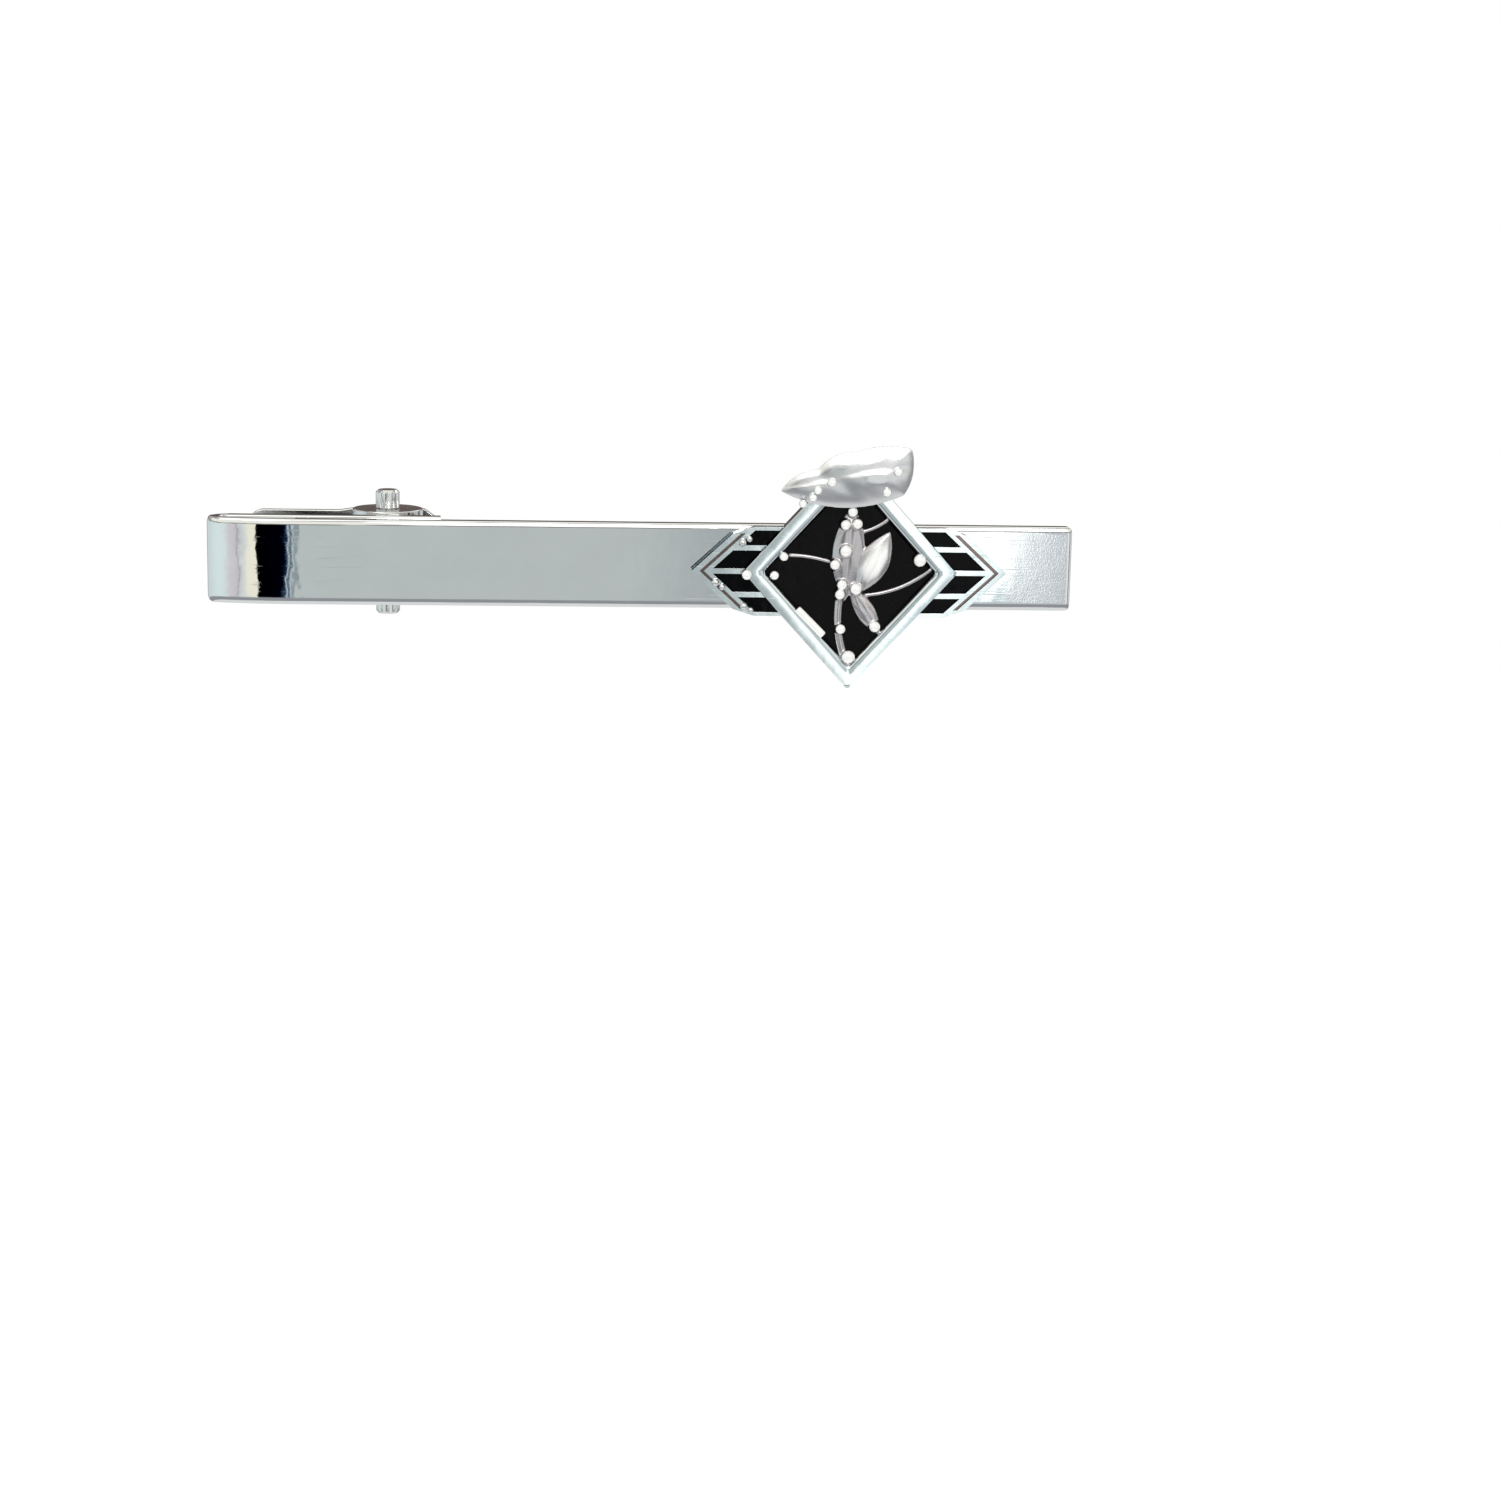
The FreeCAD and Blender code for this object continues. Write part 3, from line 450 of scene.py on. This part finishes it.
def makePlate(name, finish):  # bright plate: small waves in the sheet, fine scratches, faint stains
    material = bpy.data.materials.new(name)
    bench = Bench(material)
    spots = bench.node("ShaderNodeTexCoord", output=3)
    x = bench.node("ShaderNodeSeparateXYZ", None, {0: spots})
    wave = bench.node("ShaderNodeTexNoise", None,
                      {"Vector": spots, "Scale": finish["waveScale"], "Detail": 2.0, "Roughness": 0.4})
    cloud = bench.node("ShaderNodeTexNoise", None,
                       {"Vector": spots, "Scale": plateGrain["cloudScale"], "Detail": 4.0, "Roughness": 0.6})
    grit = bench.node("ShaderNodeTexNoise", None,
                      {"Vector": spots, "Scale": plateGrain["gritScale"], "Detail": 2.0, "Roughness": 0.7})
    scratches = scratchMask(bench, spots, finish["scratchTurns"])
    waveHeight, gritHeight = finish["waveHeight"], finish["gritHeight"]
    if "worn" in finish:  # rubbed towards the open end, and strained where the strip is bent
        gritHeight = bench.step(x, *finish["worn"]) * finish["wornGrit"] + gritHeight
        waveHeight = bench.band(x, *finish["strained"]) * finish["strainHeight"] + waveHeight
    height = wave * waveHeight + scratches * finish["scratchHeight"] + grit * gritHeight
    bump = bench.node("ShaderNodeBump", None, {"Strength": 1.0, "Distance": 1.0, "Height": height})
    tone = bench.blend(bench.step(cloud, *plateGrain["cloudBand"]), finish["shade"], finish["colour"])
    if "low" in finish:  # painted shade: darker in the recesses, by depth from the front
        tone = bench.blend(bench.band(x.also("Y") * -1, *finish["lowBand"]), tone, finish["low"])
    metal = 1.0
    if "satin" in finish:  # painted highlight: the highest points are painted a flat, less metallic white
        paintedHighlightMask = bench.step(x.also("Y") * -1, *finish["satin"])
        tone = bench.blend(paintedHighlightMask, tone, finish["satinColour"])
        metal = 1 - paintedHighlightMask * (1 - finish["satinMetal"])
    shader = bench.node("ShaderNodeBsdfPrincipled", None, {
        "Base Color": tone, "Metallic": metal, "Normal": bump,
        "Roughness": cloud * finish["stain"] + scratches * plateGrain["scratchDull"] + finish["roughness"]})
    bench.node("ShaderNodeOutputMaterial", None, {"Surface": shader})
    return material


enamelFinish = {
    "deep": (0.0012, 0.0012, 0.0016),
    "dusty": (0.004, 0.004, 0.005),
    "dustBand": (0.5, 0.8),
    "dustScale": 6000.0,
    "dustDull": 0.05,
    "swellScale": 900.0,
    "swellHeight": 0.00001,
    "gloss": 0.06,
    "roughness": 0.03,
}


def makeEnamel():
    material = bpy.data.materials.new("blackEnamel")
    bench = Bench(material)
    spots = bench.node("ShaderNodeTexCoord", output=3)
    swell = bench.node("ShaderNodeTexNoise", None,
                       {"Vector": spots, "Scale": enamelFinish["swellScale"], "Detail": 1.0})
    dust = bench.node("ShaderNodeTexNoise", None,
                      {"Vector": spots, "Scale": enamelFinish["dustScale"], "Detail": 3.0})
    bump = bench.node("ShaderNodeBump", None, {
        "Strength": 1.0, "Distance": 1.0, "Height": swell * enamelFinish["swellHeight"]})
    dusted = bench.step(dust, *enamelFinish["dustBand"])
    tone = bench.blend(dusted, enamelFinish["deep"], enamelFinish["dusty"])
    shader = bench.node("ShaderNodeBsdfPrincipled", None, {
        "Base Color": tone, "Normal": bump,
        "Roughness": dust * enamelFinish["dustDull"] + enamelFinish["roughness"],
        "Specular IOR Level": enamelFinish["gloss"]})
    bench.node("ShaderNodeOutputMaterial", None, {"Surface": shader})
    return material


barStrip = {
    "foldInner": 0.3 * mm,
    "sweepRadius": 25 * mm,
    "sweepAngle": math.radians(11),
    "rollWide": 0.55 * mm,  # the long edges roll over this much of the face
    "rollDeep": 0.2 * mm,
    "rollSteps": 8,
    "corner": 0.35 * mm,
    "cornerSteps": 7,
    "flatSteps": 30,
    "sweepSteps": 90,
    "foldSteps": 90,
    "leafAbove": 0.4,  # share of the bar's depth behind which only the return leaf lies
}


def makeBar(material):
    low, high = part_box("front_bar")
    thick, half = -low.y, high.z
    outer = barStrip["foldInner"] + thick
    foldCentre = Vector((low.x + outer, high.y - outer, 0))
    angle = barStrip["sweepAngle"]
    sweepX = foldCentre.x + (barStrip["sweepRadius"] - outer) * math.sin(angle)
    corners = [vert.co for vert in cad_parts["front_bar"].data.vertices]
    leafEnd = max(corner.x for corner in corners if corner.y > barStrip["leafAbove"] * high.y)
    shape = bmesh.new()
    squash = barStrip["rollDeep"] / barStrip["rollWide"]
    bmesh.ops.create_grid(shape, x_segments=1, y_segments=1, size=0.5)
    bmesh.ops.scale(shape, vec=(thick / squash, 2 * half, 1), verts=shape.verts)
    bmesh.ops.bevel(shape, geom=list(shape.verts), offset=barStrip["rollWide"], offset_type="OFFSET",
                    affect="VERTICES", segments=barStrip["rollSteps"], profile=0.5, material=-1)
    bmesh.ops.scale(shape, vec=(squash, 1, 1), verts=shape.verts)
    # the section stands across the bar, its thickness along Y and its width along Z
    bmesh.ops.rotate(shape, verts=shape.verts, matrix=Matrix(((0, 0, 1), (1, 0, 0), (0, 1, 0))))
    bmesh.ops.translate(shape, verts=shape.verts, vec=(sweepX, -thick / 2, 0))
    capEnd(shape, list(shape.faces), high.x, thick, half)
    section = [edge for edge in shape.edges if edge.is_boundary]
    section = turnSection(shape, section, Vector((sweepX, barStrip["sweepRadius"] - thick, 0)), -angle,
                          barStrip["sweepSteps"])
    section = turnSection(shape, section, foldCentre, angle - math.pi, barStrip["foldSteps"])
    moved = bmesh.ops.extrude_edge_only(shape, edges=section)["geom"]
    bmesh.ops.translate(shape, verts=picked(moved, bmesh.types.BMVert), vec=(leafEnd - foldCentre.x, 0, 0))
    rim = [edge for edge in picked(moved, bmesh.types.BMEdge) if edge.is_boundary]
    bmesh.ops.contextual_create(shape, geom=rim)
    bmesh.ops.remove_doubles(shape, verts=shape.verts, dist=mergeReach)
    bmesh.ops.recalc_face_normals(shape, faces=shape.faces)
    finishPiece(makeObject("barStrip", shape, angle=30), "bar", "bar_plate", material, "front_bar")


def picked(geometry, kind):
    return [item for item in geometry if isinstance(item, kind)]


def capEnd(shape, faces, end, thick, half):  # runs the section to the open end and rounds it off
    corner, deep, steps = barStrip["corner"], barStrip["rollDeep"], barStrip["cornerSteps"]
    last = faces[0].calc_center_median().x
    marks = [(last + (end - corner - last) * step / barStrip["flatSteps"], 0.0, 0.0)
             for step in range(1, barStrip["flatSteps"] + 1)]
    for step in range(1, steps + 1):
        turn = math.pi / 2 * step / steps
        back, inset = 1 - math.sin(turn), 1 - math.cos(turn)
        marks.append((end - corner * back, corner * inset, deep * inset))
    wide, tall = half, thick / 2
    centre = Matrix.Translation((0, thick / 2, 0))
    for x, inset, thinner in marks:
        moved = bmesh.ops.extrude_face_region(shape, geom=faces)["geom"]
        bmesh.ops.delete(shape, geom=faces, context="FACES_ONLY")
        verts, faces = picked(moved, bmesh.types.BMVert), picked(moved, bmesh.types.BMFace)
        bmesh.ops.translate(shape, verts=verts, vec=(x - last, 0, 0))
        newWide, newTall = half - inset, thick / 2 - thinner
        bmesh.ops.scale(shape, verts=verts, vec=(1, newTall / tall, newWide / wide), space=centre)
        wide, tall, last = newWide, newTall, x


def turnSection(shape, section, centre, angle, steps):
    spun = bmesh.ops.spin(shape, geom=section, cent=centre, axis=(0, 0, 1), dvec=(0, 0, 0), angle=angle,
                          steps=steps, use_merge=False, use_duplicate=False)
    return picked(spun["geom_last"], bmesh.types.BMEdge)


diamondRim = {
    "halfWidth": 7.1 * mm,
    "halfHeight": 7.8 * mm,
    "border": 1.08 * mm,
    "corner": 0.22 * mm,
    "outerRound": 0.11 * mm,
    "outerDrop": 0.15 * mm,
    "innerRound": 0.28 * mm,
    "innerDrop": 0.34 * mm,
    "crown": 0.003 * mm,
    "roundSteps": 4,
    "flatSteps": 8,
    "cornerSteps": 4,
}


tiny = 0.0001 * mm  # shorter than any real length


def rimProfile(rise):  # distance in from the outline, and height
    outer, inner = diamondRim["outerRound"], diamondRim["innerRound"]
    flat = diamondRim["border"] - outer - inner
    top = rise - diamondRim["crown"]
    profile = [(0.0, top - diamondRim["outerDrop"])]
    turns = [math.pi / 2 * step / diamondRim["roundSteps"] for step in range(1, diamondRim["roundSteps"] + 1)]
    for turn in turns:
        profile.append((outer * (1 - math.cos(turn)), top - diamondRim["outerDrop"] * (1 - math.sin(turn))))
    for step in range(1, diamondRim["flatSteps"] + 1):
        share = step / diamondRim["flatSteps"]
        profile.append((outer + flat * share, top + diamondRim["crown"] * (1 - (2 * share - 1) ** 2)))
    for turn in turns:
        profile.append((diamondRim["border"] - inner * (1 - math.sin(turn)),
                        top - diamondRim["innerDrop"] * (1 - math.cos(turn))))
    profile.append((diamondRim["border"], 0.0))
    return profile


def raiseFace(shape, faces, rise):
    moved = bmesh.ops.extrude_face_region(shape, geom=faces)["geom"]
    bmesh.ops.delete(shape, geom=faces, context="FACES_ONLY")
    faces = picked(moved, bmesh.types.BMFace)
    bmesh.ops.translate(shape, verts=faces[0].verts, vec=(0, 0, rise))
    return faces


def standUp(shape, centre, back):  # turns a shape drawn face up on the ground to face the front
    bmesh.ops.rotate(shape, verts=shape.verts, matrix=Matrix.Rotation(math.pi / 2, 3, "X"))
    bmesh.ops.translate(shape, verts=shape.verts, vec=(centre.x, back, centre.z))
    bmesh.ops.recalc_face_normals(shape, faces=shape.faces)


def diamondShape(wide, tall):
    shape = bmesh.new()
    bmesh.ops.create_circle(shape, cap_ends=True, radius=1, segments=4)
    bmesh.ops.scale(shape, vec=(wide, tall, 1), verts=shape.verts)
    return shape


def makeRim(material):
    low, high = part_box("diamond_frame")
    centre = (low + high) / 2
    shape = diamondShape(diamondRim["halfWidth"], diamondRim["halfHeight"])
    profile = rimProfile(high.y - low.y)
    faces = raiseFace(shape, list(shape.faces), profile[0][1])
    for (before, lower), (after, upper) in zip(profile, profile[1:]):
        if after - before > tiny:
            bmesh.ops.inset_region(shape, faces=faces, thickness=after - before, use_even_offset=True)
            bmesh.ops.translate(shape, verts=faces[0].verts, vec=(0, 0, upper - lower))
        else:
            faces = raiseFace(shape, faces, upper - lower)
    bmesh.ops.delete(shape, geom=faces, context="FACES")
    mitres = [edge for edge in shape.edges if all(abs(vert.co.x) < tiny for vert in edge.verts)
              or all(abs(vert.co.y) < tiny for vert in edge.verts)]
    bmesh.ops.bevel(shape, geom=mitres, offset=diamondRim["corner"], offset_type="OFFSET", affect="EDGES",
                    segments=diamondRim["cornerSteps"], profile=0.5, material=-1, clamp_overlap=True)
    standUp(shape, centre, high.y)
    finishPiece(makeObject("diamondRim", shape, angle=40), "bar", "emblem_plate", material, "diamond_frame")


fieldEnamel = {"meniscus": 0.14 * mm, "dip": 0.05 * mm}


def fieldSize():
    wide, tall, border = diamondRim["halfWidth"], diamondRim["halfHeight"], diamondRim["border"]
    side = math.hypot(wide, tall)
    return wide - border * side / tall, tall - border * side / wide


def makeFieldEnamel(material):
    low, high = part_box("field_enamel_5")
    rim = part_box("diamond_frame")
    shape = diamondShape(*fieldSize())
    faces = raiseFace(shape, list(shape.faces), high.y - low.y)
    bmesh.ops.inset_region(shape, faces=faces, thickness=fieldEnamel["meniscus"], use_even_offset=True)
    bmesh.ops.translate(shape, verts=faces[0].verts, vec=(0, 0, -fieldEnamel["dip"]))
    standUp(shape, (rim[0] + rim[1]) / 2, high.y)
    nodes = ["field_enamel_%d" % number for number in range(1, 7)]
    finishPiece(makeObject("fieldEnamel", shape, angle=60), "bar", "enamel", material, *nodes)


# the sprig's points are shares of the field's half width and half height, as in the part
sprig = {
    "stems": [((0.0, -1.0), (-0.13, -0.55), (-0.05, -0.05)), ((0.01, 0.6), (0.02, 0.8), (0.0, 1.0))],
    "leaves": [((-0.06, -0.32), (0.02, 0.74), 0.17, 0.0), ((0.1, -0.22), (0.46, 0.45), 0.22, 0.16),
               ((0.0, -0.14), (0.38, -0.68), 0.17, 0.06)],
    "tendrils": [((-0.08, 0.06), (-0.45, 0.16), (-0.824, 0.176)),
                 ((0.04, -0.24), (0.55, -0.17), (0.955, 0.045)), ((0.03, 0.42), (0.25, 0.47), (0.43, 0.57))],
    "berries": [(0.01, 0.655, 1.0), (-0.07, 0.516, 1.0), (0.07, 0.528, 1.0), (-0.06, 0.239, 1.15),
                (-0.184, 0.089, 1.0), (-0.096, -0.124, 1.0), (-0.117, -0.23, 1.0), (-0.1, -0.6, 1.0),
                (0.0, -0.9, 1.25), (0.3, -0.57, 1.1), (-0.78, 0.17, 0.9), (0.07, -0.17, 1.1)],
    "edgeBeads": [(-0.885, -0.03, 0.9), (0.81, 0.144, 1.2), (-1.209, -0.027, 1.0)],  # on and by the rim
    "rod": ((-0.615, -0.385), (-0.456, -0.528), (-0.304, -0.67)),
    "stemRadius": 0.31,  # millimetres from here on
    "tendrilRadius": 0.15,
    "rodRadius": 0.3,
    "rodLift": 0.3,
    "tubeSides": 16,
    "tubeSteps": 24,
    "berryRadius": 0.38,
    "berryLift": 0.26,
    "beadFaces": (20, 14),
    "leafRise": 0.38,
    "leafFaces": (36, 26),
    "leafVein": 0.12,
    "veinWidth": 0.16,  # share of the leaf's half width
    "ribHeight": 0.03,
    "ribTurns": (3.2, 1.6),
    "voxel": 0.055,
    "smoothRounds": 3,
}


def addLeaf(shape, foot, tip, fullness, level):
    along = tip - foot
    around, upwards = sprig["leafFaces"]
    ribAlong, ribAcross = sprig["ribTurns"]
    verts = bmesh.ops.create_uvsphere(shape, u_segments=around, v_segments=upwards, radius=1)["verts"]
    for vert in verts:
        x, y, z = vert.co
        point = math.sqrt(max(0.0, 1 - z * z))
        groove = sprig["leafVein"] * math.exp(-(x / sprig["veinWidth"]) ** 2) * point
        ribs = math.cos((z * ribAlong + abs(x) * ribAcross) * math.pi) * min(1.0, abs(x) * 3)
        ribs *= sprig["ribHeight"] * point
        vert.co = (x * point, y + (groove - ribs if y < 0 else 0), z)
    bmesh.ops.scale(shape, verts=verts, vec=(fullness * along.length, sprig["leafRise"], along.length / 2))
    bmesh.ops.rotate(shape, verts=verts, matrix=Matrix.Rotation(math.atan2(along.x, along.z), 3, "Y"))
    bmesh.ops.translate(shape, verts=verts, vec=(foot + tip) / 2 + Vector((0, level, 0)))


def addTube(shape, start, middle, end, radius, level):  # a round bar along the arc through three points
    across, up = middle - start, end - start
    twice = 2 * (across.x * up.z - across.z * up.x)
    a, b = across.length_squared, up.length_squared
    centre = start + Vector(((up.z * a - across.z * b) / twice, 0, (across.x * b - up.x * a) / twice))
    spoke, last = start - centre, end - centre
    angle = math.atan2(spoke.z * last.x - spoke.x * last.z, spoke.x * last.x + spoke.z * last.z)
    sides, steps = sprig["tubeSides"], sprig["tubeSteps"]
    verts = bmesh.ops.create_circle(shape, cap_ends=True, radius=radius, segments=sides)["verts"]
    bmesh.ops.rotate(shape, verts=verts, matrix=Matrix.Rotation(-math.atan2(spoke.z, spoke.x), 3, "Y"))
    bmesh.ops.translate(shape, verts=verts, vec=start)
    edges = {edge for vert in verts for edge in vert.link_edges}
    faces = {face for vert in verts for face in vert.link_faces}
    spun = bmesh.ops.spin(shape, geom=list(faces | edges), cent=centre, axis=(0, 1, 0), dvec=(0, 0, 0),
                          angle=angle, steps=steps, use_merge=False, use_duplicate=False)
    lastFaces = picked(spun["geom_last"], bmesh.types.BMFace)
    made = set(verts) | {vert for face in lastFaces for vert in face.verts}
    reached = set(made)
    while made:  # everything joined to the two ends
        made = {edge.other_vert(vert) for vert in made for edge in vert.link_edges} - reached
        reached |= made
    bmesh.ops.translate(shape, verts=list(reached), vec=(0, level, 0))


def addBead(shape, spot, radius, level):
    around, upwards = sprig["beadFaces"]
    verts = bmesh.ops.create_uvsphere(shape, u_segments=around, v_segments=upwards, radius=radius)["verts"]
    bmesh.ops.translate(shape, verts=verts, vec=spot + Vector((0, level, 0)))


def smoothShape(shape):
    bmesh.ops.smooth_vert(shape, verts=shape.verts, factor=0.5,
                          use_axis_x=True, use_axis_y=True, use_axis_z=True)


def fusedShape(shape, voxel, rounds):  # melts a shape drawn in millimetres into one skin
    bmesh.ops.recalc_face_normals(shape, faces=shape.faces)
    draft = makeObject("draft", shape)
    addModifier(draft, "REMESH", {"mode": "VOXEL", "voxel_size": voxel, "use_smooth_shade": True})
    graph = bpy.context.evaluated_depsgraph_get()
    skin = bpy.data.meshes.new_from_object(draft.evaluated_get(graph))
    fused = bmesh.new()
    fused.from_mesh(skin)
    bpy.data.objects.remove(draft)
    bpy.data.meshes.remove(skin)
    for _ in range(rounds):
        smoothShape(fused)
    return fused


def makeSprig(material):
    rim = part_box("diamond_frame")
    middle = (rim[0] + rim[1]) / 2 / mm
    wide, tall = (size / mm for size in fieldSize())
    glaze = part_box("field_enamel_5")[0].y / mm

    def spot(across, up):
        return Vector((middle.x + across * wide, 0, middle.z + up * tall))

    shape = bmesh.new()
    for stem in sprig["stems"]:
        addTube(shape, *[spot(*point) for point in stem], sprig["stemRadius"], glaze)
    for tendril in sprig["tendrils"]:
        addTube(shape, *[spot(*point) for point in tendril], sprig["tendrilRadius"], glaze)
    addTube(shape, *[spot(*point) for point in sprig["rod"]], sprig["rodRadius"], glaze - sprig["rodLift"])
    for foot, tip, fullness, lift in sprig["leaves"]:
        addLeaf(shape, spot(*foot), spot(*tip), fullness, glaze - lift)
    for across, up, share in sprig["berries"] + sprig["edgeBeads"]:
        addBead(shape, spot(across, up), sprig["berryRadius"] * share, glaze - sprig["berryLift"])
    shape = fusedShape(shape, sprig["voxel"], sprig["smoothRounds"])
    bmesh.ops.scale(shape, verts=shape.verts, vec=(mm, mm, mm))
    finishPiece(makeObject("sprigRelief", shape, angle=80), "bar", "emblem_plate", material, "sprig_relief")


crest = {
    "voxel": 0.085,  # millimetres
    "smoothRounds": 5,
    "sideSlope": 0.25,  # a corner whose normal leans forward less than this is on the leaf's side
    "backDepth": 0.2,  # this much of the leaf's back stays as it is
    "dome": 0.5,
    "edgeShare": 0.42,  # the dome's height at its edge
    "shoulder": 0.6,
    "swell": (1.5, -1.5, 1.6, 0.85, 0.17),  # place, half width, half height, rise
    "veinFrom": (-3.9, -2.05),  # from the back plate's top corner
    "veinTo": (3.3, -0.7),
    "veinDepth": 0.035,
    "veinWidth": 0.3,
    "veinBow": 0.25,
    "veinSpan": 7,
    "ribDepth": 0.009,
    "ribPitch": 1.7,
    "ribSlant": 0.9,
    "beads": [(-3.29, -3.15, 0.26), (-2.65, -2.75, 0.27), (-2.33, -2.27, 0.27), (-1.43, -1.74, 0.3),
              (2.9, -1.0, 0.3), (2.2, -2.35, 0.3)],
    "beadFront": 0.83,  # above the leaf's back
}


def makeCrest(material):
    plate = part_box("emblem_plate")
    low, high = (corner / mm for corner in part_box("crest_leaf"))
    top = Vector(((plate[0].x + plate[1].x) / 2 / mm, 0, plate[1].z / mm))
    back = high.y
    shape = fusedShape(copyNode("crest_leaf", 1 / mm), crest["voxel"], crest["smoothRounds"])
    shape.normal_update()
    sides = [vert.co.copy() for vert in shape.verts if abs(vert.normal.y) < crest["sideSlope"]]
    tree = kdtree.KDTree(len(sides))
    for number, side in enumerate(sides):
        tree.insert((side.x, 0, side.z), number)
    tree.balance()
    start = top + Vector((crest["veinFrom"][0], 0, crest["veinFrom"][1]))
    vein = (top + Vector((crest["veinTo"][0], 0, crest["veinTo"][1])) - start).normalized()
    swellX, swellZ, swellWide, swellTall, swellRise = crest["swell"]
    for vert in shape.verts:  # domes the front and works the veins into it
        if vert.co.y > back - crest["backDepth"]:
            continue
        inward = tree.find((vert.co.x, 0, vert.co.z))[2]
        fromStart = Vector((vert.co.x, 0, vert.co.z)) - start
        along = fromStart.dot(vein)
        aside = fromStart.cross(vein).y - crest["veinBow"] * math.sin(along / crest["veinSpan"] * math.pi)
        swollen = 1 - math.exp(-inward / crest["shoulder"])
        lift = crest["dome"] * (crest["edgeShare"] + (1 - crest["edgeShare"]) * swollen)
        lift += swellRise * math.exp(-((vert.co.x - top.x - swellX) / swellWide) ** 2
                                     - ((vert.co.z - top.z - swellZ) / swellTall) ** 2)
        lift -= crest["veinDepth"] * math.exp(-(aside / crest["veinWidth"]) ** 2)
        wave = (along - crest["ribSlant"] * abs(aside)) / crest["ribPitch"] * 2 * math.pi
        lift += crest["ribDepth"] * math.cos(wave) * min(1.0, inward, abs(aside) * 2)
        vert.co.y = max(back - lift, low.y)
    smoothShape(shape)
    for x, z, radius in crest["beads"]:
        addBead(shape, top + Vector((x, 0, z)), radius, back - crest["beadFront"] + radius)
    bmesh.ops.scale(shape, verts=shape.verts, vec=(mm, mm, mm))
    finishPiece(makeObject("crestLeaf", shape, angle=80), "bar", "emblem_plate", material, "crest_leaf")


fanBeads = {
    "spots": [(4.75, -0.95, 0.26), (5.2, -1.25, 0.21), (6.5, 1.7, 0.26), (6.95, 1.94, 0.21),
              (6.65, -2.5, 0.26), (7.1, -2.76, 0.21)],  # X and Z of the bar, and radius, in millimetres
    "level": -1.93,
}


def makeFanBeads(material):
    shape = bmesh.new()
    for x, z, radius in fanBeads["spots"]:
        addBead(shape, Vector((x, 0, z)), radius, fanBeads["level"])
    bmesh.ops.scale(shape, verts=shape.verts, vec=(mm, mm, mm))
    finishPiece(makeObject("fanBeads", shape), "bar", "emblem_plate", material)


def makeSpring(material):
    piece = makeObject("springCoil", copyNode("torsion_spring"), angle=50)
    dressPiece(piece, material)
    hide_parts("torsion_spring")
    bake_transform(piece)


fanGlaze = {"round": 0.05 * mm, "steps": 3}

easedPieces = [
    # CAD node, piece, body, slot, finish, rounding
    ("emblem_plate", "fanPlate", "bar", "emblem_plate", "emblem", 0.07 * mm),
    ("clamp_lever", "leverSheet", "lever", "fitting_plate", "fitting", 0.07 * mm),
    ("hinge_bracket", "bracketSheet", "bar", "fitting_plate", "fitting", 0.06 * mm),
    ("hinge_pin", "hingePin", "bar", "fitting_plate", "fitting", 0.03 * mm),
]

makeCamera()
makeRoom()
makeFloor()
for name, (spot, size, power) in lamps.items():
    makeLamp(name, spot, size, power)
print("studio ready")

finishes = {name: makePlate(name + "Plate", finish) for name, finish in plateFinish.items()}
enamel = makeEnamel()
print("finishes ready")

makeBar(finishes["bar"])
makeRim(finishes["emblem"])
for node, name, body, slot, finish, width in easedPieces:
    easedCopy(node, name, body, slot, finishes[finish], width)
makeSpring(finishes["spring"])
print("sheet metal ready")

makeFieldEnamel(enamel)
for node in sorted(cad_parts):
    if node.startswith("fan_enamel"):
        name = "".join(word.title() for word in node.split("_"))
        easedCopy(node, name, "bar", "enamel", enamel, fanGlaze["round"], fanGlaze["steps"])
makeSprig(finishes["relief"])
makeCrest(finishes["crest"])
makeFanBeads(finishes["crest"])
print("emblem ready")

for node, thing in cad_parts.items():  # the CAD nodes that stay, and the hidden ones to match
    finish = enamel if "enamel" in node else finishes["solder" if "solder" in node else "fitting"]
    thing.data.materials.clear()
    thing.data.materials.append(finish)

bpy.context.scene.view_settings.view_transform = "Standard"
